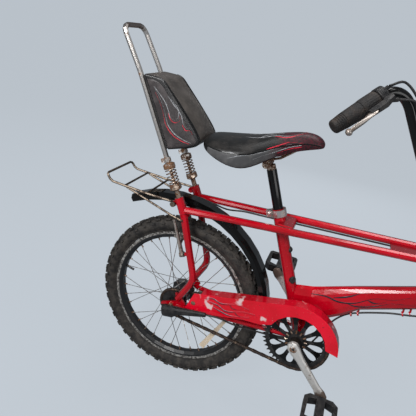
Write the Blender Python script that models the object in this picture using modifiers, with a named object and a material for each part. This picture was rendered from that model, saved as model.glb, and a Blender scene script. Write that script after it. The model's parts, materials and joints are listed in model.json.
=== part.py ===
"""A chopper bicycle with a 20 inch rear wheel, a 16 inch front wheel, a high handlebar and a sissy bar.

Frame of the model: +X forward, +Y to the rider's left, +Z up. The origin is where the rear tyre meets the
ground. The handlebar and the fork stand turned a little to the right, as the bicycle was set down.
Sizes are named in millimetres and mm() turns them into metres.
"""
import math

import bmesh
import bpy
from mathutils import Matrix, Vector

# Driving dimensions, in millimetres and degrees
REAR_RADIUS = 255.0
REAR_RIM_RADIUS = 209.8
FRONT_RADIUS = 203.0
FRONT_RIM_RADIUS = 158.8
WHEELBASE = 950.0
RIM_HALF = 13.8
REAR_SPOKES = 36
FRONT_SPOKES = 28
GAP = 0.3

CHAIN_PITCH = 12.7
RING_TEETH = 44
COG_TEETH = 20
CHAIN_LINKS = 90
CHAIN_Y = -44.0
BRACKET_RISE = 20.0
CRANK_LENGTH = 152.0
CRANK_DEGREES = -48.0
CRANK_Y = 79.5

HEAD_DEGREES = 66.0
FORK_OFFSET = 40.0
FRONT_LIFT = 0.8
STEER_DEGREES = -17.0
HEAD_LOW = 345.0
HEAD_HIGH = 487.0
CROWN_AT = 318.0
STEM_AT = 545.0
STEM_REACH = 30.0

SEAT_DEGREES = 68.6
SEAT_TUBE_TOP = 365.0
SEAT_TUBE_RADIUS = 16.5
POST_RADIUS = 13.6
POST_TOP = 474.0

RAIL_RADIUS = 10.0
RAIL_REAR = (-8.0, 60.3, 557.5)
RAIL_FRONT = (640.0, 36.0, 609.6)
LEG_RADIUS = 10.5
LEG_Y = 60.0
DROPOUT_Y = (59.3, 65.0)

SISSY_LEAN = 27.5
SISSY_RADIUS = 7.3
SOCKET_TOP = (-31.0, 588.0)
SPRING_TURNS = 5.0
SPRING_RADIUS = 13.9
SPRING_WIRE = 1.6
UPPER_COLLAR = 91.0
LOWER_COLLAR = 31.0
COLLAR_HALF = 7.0
PAD_LOW = 136.0
PAD_HIGH = 344.0

BAR_RADIUS = 11.1
GRIP_RADIUS = 16.5
GRIP_INNER = (480.0, 310.0, 1024.0)
GRIP_OUTER = (431.0, 393.0, 966.0)
BAR_FOOT = (655.0, 266.0, 752.0)
BAR_BEND = 35.0
CORNER_AT = 160.0
SHORT_GRIP = 60.0
BRACKET_FROM = 98.0
BRACKET_TO = 114.0
BARREL_END = 119.0
LEVER_AT = 62.0

STAND_PIVOT = (300.0, 47.0, 252.0)
REAR_PIVOT = (6.0, 54.0, 422.0)
REAR_ARM_UP = Vector((-0.40, 0.0, 0.917)).normalized()
REAR_ARM_AXIS = Vector((-0.917, 0.0, -0.40)).normalized()
CABLE_RADIUS = 2.4

MM = 0.001

for old in list(bpy.data.objects):
    bpy.data.objects.remove(old, do_unlink=True)

PARTS = bpy.data.collections.new("chopper_bike")
CUTTERS = bpy.data.collections.new("cutters")
bpy.context.scene.collection.children.link(PARTS)
bpy.context.scene.collection.children.link(CUTTERS)


def mm(*values):
    return Vector(values) * MM


def material(name, colour, roughness, metallic=0.0):
    made = bpy.data.materials.new(name)
    made.use_nodes = True
    shader = made.node_tree.nodes["Principled BSDF"]
    shader.inputs["Base Color"].default_value = (*colour, 1.0)
    shader.inputs["Roughness"].default_value = roughness
    shader.inputs["Metallic"].default_value = metallic
    return made


RED = material("red_enamel", (0.60, 0.012, 0.02), 0.25)
BLACK = material("black_enamel", (0.012, 0.012, 0.014), 0.2)
PLASTIC = material("black_plastic", (0.03, 0.03, 0.032), 0.5)
RUBBER = material("rubber", (0.025, 0.024, 0.023), 0.75)
VINYL = material("vinyl", (0.03, 0.03, 0.033), 0.45)
CHROME = material("chrome", (0.62, 0.58, 0.54), 0.2, 1.0)
ALLOY = material("alloy", (0.66, 0.65, 0.63), 0.35, 1.0)
STEEL = material("steel", (0.30, 0.22, 0.17), 0.45, 1.0)
AMBER = material("reflector", (0.75, 0.66, 0.52), 0.3)


def add(name, data, mat, parent=None, at=(0.0, 0.0, 0.0)):
    """Links one named object into the model."""
    obj = bpy.data.objects.new(name, data)
    PARTS.objects.link(obj)
    obj.data.materials.append(mat)
    obj.location = mm(*at)
    if parent is not None:
        obj.parent = parent
    return obj


def to_cutters(obj):
    """Turns an object into a guide for Booleans."""
    PARTS.objects.unlink(obj)
    CUTTERS.objects.link(obj)
    obj.hide_render = True
    obj.display_type = "WIRE"
    return obj


def boolean(obj, other, operation):
    """Cuts or joins by a guide object, which gets the same parent."""
    to_cutters(other)
    other.parent = obj.parent
    modifier = obj.modifiers.new(operation.lower(), "BOOLEAN")
    modifier.operation = operation
    modifier.object = other
    return obj


def cut(obj, *others):
    for other in others:
        boolean(obj, other, "DIFFERENCE")
    return obj


def fuse(obj, *others):
    for other in others:
        boolean(obj, other, "UNION")
    return obj


def bevel(obj, width, segments=1, angle=40.0):
    modifier = obj.modifiers.new("bevel", "BEVEL")
    modifier.width = width * MM
    modifier.segments = segments
    modifier.limit_method = "ANGLE"
    modifier.angle_limit = math.radians(angle)
    return obj


def mesh_from(name, build, mat, parent=None, at=(0.0, 0.0, 0.0), sharp=35.0):
    """Makes an object from a function that fills a bmesh."""
    data = bpy.data.meshes.new(name)
    work = bmesh.new()
    build(work)
    bmesh.ops.recalc_face_normals(work, faces=work.faces)
    work.to_mesh(data)
    work.free()
    data.shade_smooth()
    data.set_sharp_from_angle(angle=math.radians(sharp))
    return add(name, data, mat, parent, at)


def aim(start, end):
    """The matrix that stands a shape made along +Z on the line from start to end."""
    start, end = mm(*start), mm(*end)
    turn = (end - start).to_track_quat("Z", "X").to_matrix().to_4x4()
    return Matrix.Translation((start + end) / 2) @ turn


def rod(name, start, end, radius, mat=RED, parent=None, sides=12, end_radius=None):
    """A straight bar or a cone between two points."""
    length = (Vector(end) - Vector(start)).length * MM

    def build(work):
        bmesh.ops.create_cone(work, cap_ends=True, segments=sides, radius1=radius * MM,
                              radius2=(radius if end_radius is None else end_radius) * MM,
                              depth=length, matrix=aim(start, end))
    return mesh_from(name, build, mat, parent)


def box(name, low, high, mat=RED, parent=None):
    low, high = mm(*low), mm(*high)
    size = high - low

    def build(work):
        place = Matrix.Translation((low + high) / 2) @ Matrix.Diagonal((*size, 1.0))
        bmesh.ops.create_cube(work, size=1.0, matrix=place)
    return mesh_from(name, build, mat, parent)


def rounded(points, radius, step=30.0):
    """The points of a bent tube: straight runs joined by arcs."""
    points = [Vector(p) for p in points]
    radii = radius if isinstance(radius, (list, tuple)) else [radius] * (len(points) - 2)
    out = [points[0]]
    for before, corner, after, bend in zip(points, points[1:], points[2:], radii):
        back = (before - corner).normalized()
        ahead = (after - corner).normalized()
        half = back.angle(ahead) / 2
        reach = bend / math.tan(half)
        centre = corner + (back + ahead).normalized() * (bend / math.sin(half))
        first = corner + back * reach - centre
        last = corner + ahead * reach - centre
        turn = first.angle(last)
        axis = first.cross(last).normalized()
        count = max(1, round(math.degrees(turn) / step))
        for i in range(count + 1):
            out.append(centre + Matrix.Rotation(turn * i / count, 3, axis) @ first)
    out.append(points[-1])
    return out


def curve(name, points, radius, mat, parent=None, resolution=3):
    """A tube along a list of points in millimetres."""
    data = bpy.data.curves.new(name, "CURVE")
    data.dimensions = "3D"
    data.bevel_depth = radius * MM
    data.bevel_resolution = resolution
    data.use_fill_caps = True
    data.resolution_u = 1
    spline = data.splines.new("POLY")
    spline.points.add(len(points) - 1)
    for point, place in zip(spline.points, points):
        point.co = (*mm(*place), 1.0)
    return add(name, data, mat, parent)


def outline(name, loops, thickness, mat, parent=None):
    """A flat plate in the XY plane of its own axes, with holes, and half its thickness each way."""
    data = bpy.data.curves.new(name, "CURVE")
    data.dimensions = "2D"
    data.fill_mode = "BOTH"
    data.extrude = thickness / 2 * MM
    data.resolution_u = 1
    for loop in loops:
        spline = data.splines.new("POLY")
        spline.points.add(len(loop) - 1)
        for point, place in zip(spline.points, loop):
            point.co = (place[0] * MM, place[1] * MM, 0.0, 1.0)
        spline.use_cyclic_u = True
    return add(name, data, mat, parent)


def as_mesh(obj):
    """Replaces a curve object by a welded mesh object of the same name and place."""
    bpy.context.view_layer.update()
    evaluated = obj.evaluated_get(bpy.context.evaluated_depsgraph_get())
    data = bpy.data.meshes.new_from_object(evaluated)
    work = bmesh.new()
    work.from_mesh(data)
    bmesh.ops.remove_doubles(work, verts=work.verts, dist=1e-6)
    bmesh.ops.recalc_face_normals(work, faces=work.faces)
    work.to_mesh(data)
    work.free()
    data.shade_smooth()
    data.set_sharp_from_angle(angle=math.radians(35.0))
    name, mat, parent = obj.name, obj.data.materials[0], obj.parent
    bpy.data.objects.remove(obj, do_unlink=True)
    data.materials.clear()
    return add(name, data, mat, parent)


def plate_xz(name, loops, y_low, y_high, mat=RED, parent=None):
    """A plate whose outline is drawn in X and Z and which spans a range of Y."""
    plate = as_mesh(outline(name, loops, y_high - y_low, mat, parent))
    stand = Matrix(((1, 0, 0, 0), (0, 0, -1, (y_low + y_high) / 2 * MM), (0, 1, 0, 0), (0, 0, 0, 1)))
    plate.data.transform(stand)
    return plate


def arc(centre, radius, start, end, count):
    """Points on an arc in the XZ plane, angles in degrees from +X towards +Z."""
    turns = [math.radians(start + (end - start) * i / count) for i in range(count + 1)]
    return [(centre[0] + radius * math.cos(a), centre[1] + radius * math.sin(a)) for a in turns]


def lathe(name, profile, steps, mat, parent=None, at=(0.0, 0.0, 0.0), along=(0.0, 1.0, 0.0), closed=True,
          half_step=False):
    """A turned piece. The profile gives (place along the axis, radius) and is closed unless told so."""
    points = list(profile)
    area = 0.0
    for (z0, r0), (z1, r1) in zip(points, points[1:] + points[:1]):
        area += r0 * z1 - r1 * z0
    if area > 0:
        points.reverse()
    data = bpy.data.meshes.new(name)
    edges = [(i, i + 1) for i in range(len(points) - 1)]
    if closed:
        edges.append((len(points) - 1, 0))
    data.from_pydata([(r * MM, 0.0, z * MM) for z, r in points], edges, [])
    obj = add(name, data, mat, parent)
    screw = obj.modifiers.new("screw", "SCREW")
    screw.angle = math.tau
    screw.steps = steps
    screw.render_steps = steps
    screw.use_merge_vertices = True
    screw.merge_threshold = 1e-5
    screw.use_smooth_shade = True
    turn = Vector(along).to_track_quat("Z", "X").to_matrix().to_4x4()
    spin = Matrix.Rotation(math.pi / steps if half_step else 0.0, 4, "Z")
    obj.matrix_local = Matrix.Translation(mm(*at)) @ turn @ spin
    return obj


def loft(name, rings, mat, parent=None, smooth=0, sharp=35.0):
    """A skin over rings of points, closed by a flat face at each end."""
    count = len(rings[0])

    def build(work):
        rows = [[work.verts.new(mm(*p)) for p in ring] for ring in rings]
        for low, high in zip(rows, rows[1:]):
            for i in range(count):
                work.faces.new((low[i], low[(i + 1) % count], high[(i + 1) % count], high[i]))
        work.faces.new(rows[0])
        work.faces.new(rows[-1])
    obj = mesh_from(name, build, mat, parent, sharp=sharp)
    if smooth:
        subdivide = obj.modifiers.new("subdivision", "SUBSURF")
        subdivide.levels = smooth
        subdivide.render_levels = smooth
    return obj


def oval(centre, across, up, sides=12, power=2.0):
    """A ring of points round a centre, from its two half-axes."""
    centre, across, up = Vector(centre), Vector(across), Vector(up)
    out = []
    for i in range(sides):
        a = math.tau * (i + 0.5) / sides
        c, s = math.cos(a), math.sin(a)
        out.append(centre + across * math.copysign(abs(c) ** (2 / power), c)
                   + up * math.copysign(abs(s) ** (2 / power), s))
    return out


def around(radius, sides):
    """The corner radius of a many-sided hole that stands clear of a round piece all the way round."""
    return (radius + GAP) / math.cos(math.pi / sides)


def hinge_at(obj, place):
    """Moves an object's origin onto its joint's axis and leaves its shape where it is."""
    shift = mm(*place) - obj.location
    obj.data.transform(Matrix.Translation(-shift))
    obj.location = obj.location + shift
    return obj


def mirror_y(points):
    return [(p[0], -p[1], p[2]) for p in points]


def both_sides(point, side):
    """A point given for the left side, on the side asked for: +1 left, -1 right."""
    return (point[0], side * point[1], point[2])


# The chain drive sets how far the bottom bracket stands ahead of the rear axle
def ring_radius(teeth):
    return teeth * CHAIN_PITCH / math.tau


def belt_length(spacing):
    large, small = ring_radius(RING_TEETH), ring_radius(COG_TEETH)
    lean = math.asin((large - small) / spacing)
    return 2 * spacing * math.cos(lean) + large * (math.pi + 2 * lean) + small * (math.pi - 2 * lean)


def drive_spacing():
    low, high = 200.0, 600.0
    for _ in range(60):
        middle = (low + high) / 2
        if belt_length(middle) < CHAIN_LINKS * CHAIN_PITCH:
            low = middle
        else:
            high = middle
    return low


REAR_AXLE = (0.0, REAR_RADIUS)
BRACKET = (math.sqrt(drive_spacing() ** 2 - BRACKET_RISE ** 2), REAR_RADIUS + BRACKET_RISE)
SEAT_UP = Vector((-math.cos(math.radians(SEAT_DEGREES)), 0.0, math.sin(math.radians(SEAT_DEGREES))))
SISSY_UP = Vector((-math.sin(math.radians(SISSY_LEAN)), 0.0, math.cos(math.radians(SISSY_LEAN))))
SISSY_FRONT = Vector((math.cos(math.radians(SISSY_LEAN)), 0.0, math.sin(math.radians(SISSY_LEAN))))
STEER_UP = Vector((-math.cos(math.radians(HEAD_DEGREES)), 0.0, math.sin(math.radians(HEAD_DEGREES))))
STEER_AHEAD = Vector((math.sin(math.radians(HEAD_DEGREES)), 0.0, math.cos(math.radians(HEAD_DEGREES))))
# The turned fork leans the wheel, and the lift keeps its lowest edge on the ground
FRONT_AXLE = Vector((WHEELBASE, 0.0, FRONT_RADIUS + FRONT_LIFT))
STEER_FOOT = FRONT_AXLE - STEER_AHEAD * FORK_OFFSET


def on_seat(distance, off=0.0):
    """A point on the seat tube's line, from the bottom bracket up."""
    ahead = Vector((-SEAT_UP.z, 0.0, SEAT_UP.x)) * -1.0
    return Vector((BRACKET[0], 0.0, BRACKET[1])) + SEAT_UP * distance + ahead * off


def on_steer(distance, ahead=0.0, y=0.0):
    """A point on the steering axis, from the foot beside the front axle up."""
    return STEER_FOOT + STEER_UP * distance + STEER_AHEAD * ahead + Vector((0.0, y, 0.0))


def on_sissy(distance, ahead=0.0, y=0.0):
    """A point on a sissy bar leg's line, from the top of its socket up."""
    return (Vector((SOCKET_TOP[0], y, SOCKET_TOP[1])) + SISSY_UP * distance + SISSY_FRONT * ahead)


def empty(name, place, turn=None, parent=None):
    made = bpy.data.objects.new(name, None)
    PARTS.objects.link(made)
    made.matrix_local = Matrix.Translation(mm(*place)) @ (turn.to_4x4() if turn else Matrix.Identity(4))
    made.parent = parent
    return made


# The steered pieces are drawn straight ahead and hang from an empty that is turned about the steering axis
STEER_PIVOT = on_steer(HEAD_LOW)
STEER_TURN = Matrix.Rotation(math.radians(STEER_DEGREES), 3, STEER_UP)
STEERING = empty("steering", STEER_PIVOT, STEER_TURN)
STRAIGHT = empty("steering_drawing", -STEER_PIVOT, None, STEERING)


# Frame
def rail_point(x):
    """The centre of the left rail at a place along the bicycle."""
    share = (x - RAIL_REAR[0]) / (RAIL_FRONT[0] - RAIL_REAR[0])
    return Vector(RAIL_REAR).lerp(Vector(RAIL_FRONT), share)


def head_tube():
    tube = lathe("head_tube", [(HEAD_LOW, 22.5), (HEAD_HIGH, 22.5), (HEAD_HIGH, 15.2), (HEAD_LOW, 15.2)], 16,
                 RED,
                 at=STEER_FOOT, along=STEER_UP)
    rings = []
    for x, rail_y in ((527.0, rail_point(527.0).y), (RAIL_FRONT[0], RAIL_FRONT[1]), (708.0, 27.0)):
        centre = rail_point(x)
        half = rail_y - RAIL_RADIUS - 1.0
        rings.append([(centre.x, -half, centre.z - 5.0), (centre.x, half, centre.z - 5.0),
                      (centre.x, half, centre.z), (centre.x, -half, centre.z)])
    plate = loft("bridge_plate", rings, RED)
    cups = []
    for end, way in ((HEAD_LOW, -1.0), (HEAD_HIGH, 1.0)):
        profile = [(end - way * 2.0, 12.0), (end - way * 2.0, 24.5), (end + way * 12.0, 20.5),
                   (end + way * 12.0, 12.0)]
        cups.append(lathe("headset_cup", profile, 16, BLACK, at=STEER_FOOT, along=STEER_UP))
    fuse(tube, plate, *cups)
    bore = rod("head_bore", on_steer(HEAD_LOW - 20), on_steer(HEAD_HIGH + 20), 15.2, sides=16)
    return cut(tube, bore)


def main_tube():
    """A tall oval tube whose rear end flares down to the bottom bracket shell."""
    top_at, slope, height = Vector((612.0, 0.0, 515.0)), 0.3745, 62.0
    along = Vector((1.0, 0.0, slope)).normalized()
    down = Vector((along.z, 0.0, -along.x))

    def top(x):
        return top_at + Vector((x - top_at.x, 0.0, (x - top_at.x) * slope))
    seat_low = on_seat(4.0, 2.0)
    seat_high = on_seat(146.0, 2.0)
    profile = [(seat_high, seat_low, 17.6), (top(372.0), on_seat(-5.0, 17.0), 18.0),
               (top(404.0), on_seat(36.0, 49.0), 18.0), (top(436.0), top(436.0) + down * 82.0, 18.5),
               (top(478.0), top(478.0) + down * (height + 2.0), 19.0),
               (top(758.0), top(758.0) + down * (height - 8.0), 19.0)]
    rings = []
    for high, low, half in profile:
        rings.append(oval((high + low) / 2, (0.0, half, 0.0), (high - low) / 2, 14, 2.4))
    tube = loft("main_tube", rings, RED)
    seat = rod("seat_cope", on_seat(0.0), on_seat(380.0), around(SEAT_TUBE_RADIUS, 16), sides=16)
    head = rod("head_cope", on_steer(300.0), on_steer(520.0), around(22.5, 16), sides=16)
    cut(tube, seat, head)
    shell = rod("shell", (BRACKET[0], -34.0, BRACKET[1]), (BRACKET[0], 34.0, BRACKET[1]), 20.5)
    fuse(tube, shell)
    return cut(tube,
               rod("spindle_bore", (BRACKET[0], -50.0, BRACKET[1]), (BRACKET[0], 50.0, BRACKET[1]), 9.0))


def seat_tube():
    tube = rod("seat_tube", on_seat(10.0), on_seat(SEAT_TUBE_TOP), SEAT_TUBE_RADIUS, sides=16)
    middle = rail_point(262.0)
    half = rail_point(285.0).y - RAIL_RADIUS - 0.7
    gusset = box("gusset", (243.0, -half, middle.z - 11.0), (285.0, half, middle.z + 9.0))
    bevel(gusset, 3.0)
    fuse(tube, gusset)
    shell = rod("shell_cope", (BRACKET[0], -40.0, BRACKET[1]), (BRACKET[0], 40.0, BRACKET[1]),
                around(20.5, 12))
    bore = rod("post_bore", on_seat(150.0), on_seat(SEAT_TUBE_TOP + 20), around(POST_RADIUS, 16), sides=16)
    return cut(tube, shell, bore)


def rail(side, name):
    """A top rail, from the rear leg to the flank of the head tube."""
    rear, bend = Vector(both_sides(RAIL_REAR, side)), Vector(both_sides(RAIL_FRONT, side))
    head = on_steer(466.0)
    front = Vector((head.x + 6.0, side * 25.0, head.z + 1.0))
    tube = as_mesh(curve(name, rounded([rear, bend, front], 80.0), RAIL_RADIUS, RED, resolution=3))
    top, foot = on_sissy(20.0, y=side * LEG_Y), on_sissy(-90.0, y=side * LEG_Y)
    leg = rod("leg_cope", top, foot, around(LEG_RADIUS + 2.0, 12))
    column = rod("head_cope", on_steer(300.0), on_steer(540.0), around(22.5, 16), sides=16)
    return cut(tube, leg, column)


def rear_leg(side, name):
    """Socket, seat stay, forked dropout and chainstay of one side, welded together."""
    y = side * LEG_Y
    down = [on_sissy(-6.0, y=y), on_sissy(-44.0, y=y), (53.0, y, 356.0), (16.0, side * 62.0, 283.0)]
    stay = as_mesh(curve(name, rounded(down, [120.0, 48.0]), LEG_RADIUS, RED, resolution=2))
    socket = rod("socket", on_sissy(-46.0, y=y), on_sissy(0.0, y=y), LEG_RADIUS + 2.0, sides=10)
    chainstay_line = rounded([(14.0, side * 60.0, 262.0), (56.0, side * 57.0, 262.0),
                              (262.0, side * 33.0, 268.0),
                              (BRACKET[0] - 14.0, side * 27.5, BRACKET[1] - 2.0)], 150.0)
    chainstay = as_mesh(curve("chainstay", chainstay_line, 7.5, RED, resolution=2))
    slot_at, slot_lean = Vector((0.0, REAR_RADIUS)), math.radians(22.0)
    rearward = Vector((-math.cos(slot_lean), -math.sin(slot_lean)))
    lift = Vector((rearward.y, -rearward.x))
    hook = [slot_at + rearward * a + lift * b for a, b in (
        (-20.0, 14.0), (28.0, 13.0), (31.0, 9.0), (30.0, -9.0), (27.0, -13.0), (-10.0, -15.0), (-30.0, -9.0),
        (-46.0, 2.0), (-36.0, 30.0), (-24.0, 40.0))]
    low, high = sorted((side * DROPOUT_Y[0], side * DROPOUT_Y[1]))
    dropout = plate_xz("dropout", [[tuple(p) for p in hook]], low, high)
    boss = rod("brake_boss", (33.0, side * 57.0, 431.0), (13.5, side * 54.0, 424.5), 6.0, sides=8)
    lug = rod("rack_lug", on_sissy(-12.0, -18.0, side * 60.5), on_sissy(-12.0, -18.0, side * 68.2), 8.5,
              sides=8)
    fuse(stay, socket, chainstay, dropout, boss, lug)
    if side > 0:
        x, y_stand, z = STAND_PIVOT
        fuse(stay, box("stand_bracket", (x - 10.0, 24.0, z - 9.0), (x + 10.0, y_stand - 7.5, z + 18.0)),
             rod("stand_pin", (x, 30.0, z), (x, y_stand + 12.0, z), 4.0, sides=8))
    shell = rod("shell_cope", (BRACKET[0], -60.0, BRACKET[1]), (BRACKET[0], 60.0, BRACKET[1]),
                around(20.5, 12))
    column = rod("rod_bore", on_sissy(-40.0, y=y), on_sissy(20.0, y=y), around(7.0, 10), sides=10)
    axle = rod("axle_bore", (0.0, -90.0, REAR_RADIUS), (0.0, 90.0, REAR_RADIUS), 5.0 + GAP)
    slot = box("slot_way", (-40.0, -90.0, -5.3), (0.0, 90.0, 5.3))
    slot.data.transform(Matrix.Rotation(-slot_lean, 4, "Y"))
    slot.data.transform(Matrix.Translation(mm(0.0, 0.0, REAR_RADIUS)))
    return cut(stay, shell, column, axle, slot)


def stay_bridge():
    """The cross tube between the rear legs, above the tyre."""
    y = LEG_Y - LEG_RADIUS - GAP
    return rod("stay_bridge", (-2.0, -y, 541.0), (-2.0, y, 541.0), 7.0, sides=10)


def seat_clamp():
    """A split collar with two ears and a bolt behind the seat tube."""
    low, high = SEAT_TUBE_TOP - 20.0, SEAT_TUBE_TOP - 1.0
    inner = around(SEAT_TUBE_RADIUS, 12)
    collar = lathe("seat_clamp", [(low, inner), (low, inner + 4.2), (high, inner + 4.2), (high, inner)], 12,
                   ALLOY,
                   at=(BRACKET[0], 0.0, BRACKET[1]), along=SEAT_UP)
    ear_centre = on_seat((low + high) / 2, -(inner + 8.0))
    ears = box("ears", (-7.0, -9.0, -9.0), (7.0, 9.0, 9.0))
    place = Matrix.Translation(ear_centre * MM) @ SEAT_UP.to_track_quat("Z", "X").to_matrix().to_4x4()
    ears.data.transform(place)
    bolt = rod("bolt", ear_centre + Vector((0, -14.0, 0)), ear_centre + Vector((0, 14.0, 0)), 4.0, sides=6)
    fuse(collar, ears, bolt)
    split = box("split", (-14.0, -1.2, -14.0), (9.0, 1.2, 14.0))
    split.data.transform(place)
    return cut(collar, split)


def guard_radius(degrees):
    """The rear mudguard stands off the tyre more towards its tail."""
    return 280.0 + (degrees - 19.7) * 0.6


def rear_mudguard():
    """A thin arched strip with rolled lips, swept round behind and above the tyre."""
    section = [(-28.5, -22.0), (-28.5, -10.0), (-17.0, -1.6), (17.0, -1.6), (28.5, -10.0), (28.5, -22.0)]
    inner = [(y * 0.94, r - 1.6) for y, r in section]
    inner[0] = (-26.8, -22.0)
    inner[-1] = (26.8, -22.0)
    ring = section + inner[::-1]
    rings = []
    steps = 13
    for i in range(steps + 1):
        degrees = 11.0 + 113.5 * i / steps
        a = math.radians(degrees)
        reach = guard_radius(degrees)
        rings.append([(math.cos(a) * (reach + r), y, REAR_RADIUS + math.sin(a) * (reach + r))
                      for y, r in ring])
    guard = loft("rear_mudguard", rings, BLACK, sharp=50.0)
    return guard


def rack():
    """A wire rack: a bent outer loop, two cross wires and two struts, welded where they cross."""
    y, wire = 72.0, 3.4
    side = [(-46.0, -y, 576.5), (-125.0, -y, 577.0), (-202.0, -y, 581.0), (-236.0, -y, 583.0),
            (-252.0, -y, 602.0)]
    loop = side + mirror_y(side[::-1])
    frame = as_mesh(curve("rack", rounded(loop, [60, 60, 14, 9, 9, 14, 60, 60], 60.0), wire, STEEL,
                          resolution=1))
    for x, z in ((-192.0, 580.5), (-122.0, 577.0)):
        fuse(frame, rod("cross_wire", (x, -y, z), (x, y, z), wire - 0.4, sides=6))
    for s in (-1, 1):
        route = [(-186.0, s * (y - 1.0), 578.0), (-44.0, s * y, 537.0), (-6.0, s * (y + 3.0), 530.0)]
        fuse(frame, as_mesh(curve("strut", route, wire - 0.4, STEEL, resolution=1)))
        eye = on_sissy(-12.0, -18.0)
        fuse(frame, rod("eye", (eye.x, s * 68.8, eye.z), (eye.x, s * 75.0, eye.z), 8.0, STEEL, sides=8))
    return frame


def chain_guard():
    """A pressed cover outside the chain: a flat side with a top wall that reaches over the chain."""
    centre = (BRACKET[0] + 1.0, BRACKET[1] + 7.0)
    outer_radius, inner_radius, wall_thickness = 112.0, 79.0, 2.2
    face_out, face_in, wall_in = -68.5, -66.7, -38.0
    sweep = arc(centre, outer_radius, 98.0, 2.0, 9)
    opening = arc(centre, inner_radius, 8.0, 158.0, 8)
    rear_edge = [(44.0, 267.0), (64.0, 322.0)]
    lower = [(262.0, 300.0), (214.0, 296.0), (133.0, 276.0), (66.0, 266.0)]
    guard = plate_xz("chain_guard", [rear_edge + sweep + opening + lower], face_out, face_in)
    start, end = Vector(rear_edge[1]), Vector(sweep[0])
    along = (end - start).normalized()
    step_in = Vector((along.y, -along.x)) * wall_thickness
    wall_start = start.lerp(end, 0.07)
    inside = arc(centre, outer_radius - wall_thickness, 98.0, 2.0, 9)
    wall_loop = [tuple(wall_start)] + sweep + inside[::-1] + [tuple(wall_start + step_in)]
    wall = plate_xz("guard_wall", [wall_loop], (face_out + face_in) / 2, wall_in)
    spacer = rod("guard_spacer", (66.0, -71.0, 271.0), (66.0, -63.6, 271.0), 4.5, sides=8)
    return fuse(guard, wall, spacer)


def rear_axle():
    z = REAR_RADIUS
    axle = rod("rear_axle", (0.0, -76.0, z), (0.0, 76.0, z), 5.0, STEEL, sides=10)
    for s in (-1, 1):
        fuse(axle, rod("nut", (0.0, s * 65.4, z), (0.0, s * 72.4, z), 9.5, STEEL, sides=6))
    return axle


def shift_box():
    """The moulded cover over the hub gear's bell crank, with a tapered cable arm running forward."""
    y = -83.5
    shapes = [((-19.0, 244.0), 5.0, 12.0), ((-14.0, 245.0), 8.0, 17.0), ((14.0, 251.0), 8.5, 18.0),
              ((26.0, 258.0), 7.5, 11.0), ((70.0, 269.0), 6.0, 9.0), ((112.0, 279.0), 4.5, 6.0)]
    rings = [oval((x, y, z), (0.0, wide, 0.0), (-0.2 * tall, 0.0, tall), 10, 3.0)
             for (x, z), wide, tall in shapes]
    cover = loft("shift_box", rings, PLASTIC)
    room = rod("axle_room", (0.0, -77.0, REAR_RADIUS), (0.0, -60.0, REAR_RADIUS), 10.2, sides=10)
    return cut(cover, room)


# Sissy bar, springs and backrest
def guide_rod(side, name):
    """The rod in the frame's socket, with the collar that the spring stands on."""
    y = side * LEG_Y
    shaft = rod(name, on_sissy(-34.0, y=y), on_sissy(26.0, y=y), 7.0, STEEL, sides=10)
    upper = rod("rod_neck", on_sissy(24.0, y=y), on_sissy(UPPER_COLLAR + 28.0, y=y), 4.6, STEEL, sides=8)
    low, high = LOWER_COLLAR - COLLAR_HALF, LOWER_COLLAR + COLLAR_HALF
    profile = [(low - 3.0, 0.0), (low - 3.0, 9.0), (low + 1.0, 16.5), (high - 1.5, 16.5), (high, 15.0),
               (high, 0.0)]
    collar = lathe("lower_collar", profile, 10, STEEL, at=on_sissy(0.0, y=y), along=SISSY_UP, closed=False)
    return fuse(shaft, upper, collar)


def coil_points(turns, radius, start, end, per_turn):
    count = int(turns * per_turn)
    return [(radius * math.cos(math.tau * i / per_turn), radius * math.sin(math.tau * i / per_turn),
             start + (end - start) * i / count) for i in range(count + 1)]


def least_coil_gap(points, wire, per_turn):
    """The least clear distance between one turn of the coil and the next."""
    pairs = zip(points, points[per_turn:])
    least = min((Vector(later) - Vector(earlier)).length for earlier, later in pairs)
    return least - 2 * wire


def coil_spring(side, name):
    """One unbroken coil between the two collars."""
    per_turn = 8
    low = LOWER_COLLAR + COLLAR_HALF + SPRING_WIRE + 0.4
    high = UPPER_COLLAR - COLLAR_HALF - SPRING_WIRE - 0.4
    local = coil_points(SPRING_TURNS, SPRING_RADIUS, low, high, per_turn)
    print(name, "least gap between turns, mm:", round(least_coil_gap(local, SPRING_WIRE, per_turn), 2))
    turn = SISSY_UP.to_track_quat("Z", "X")
    points = [on_sissy(0.0, y=side * LEG_Y) + turn @ Vector(p) for p in local]
    return curve(name, points, SPRING_WIRE, STEEL, resolution=1)


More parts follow.
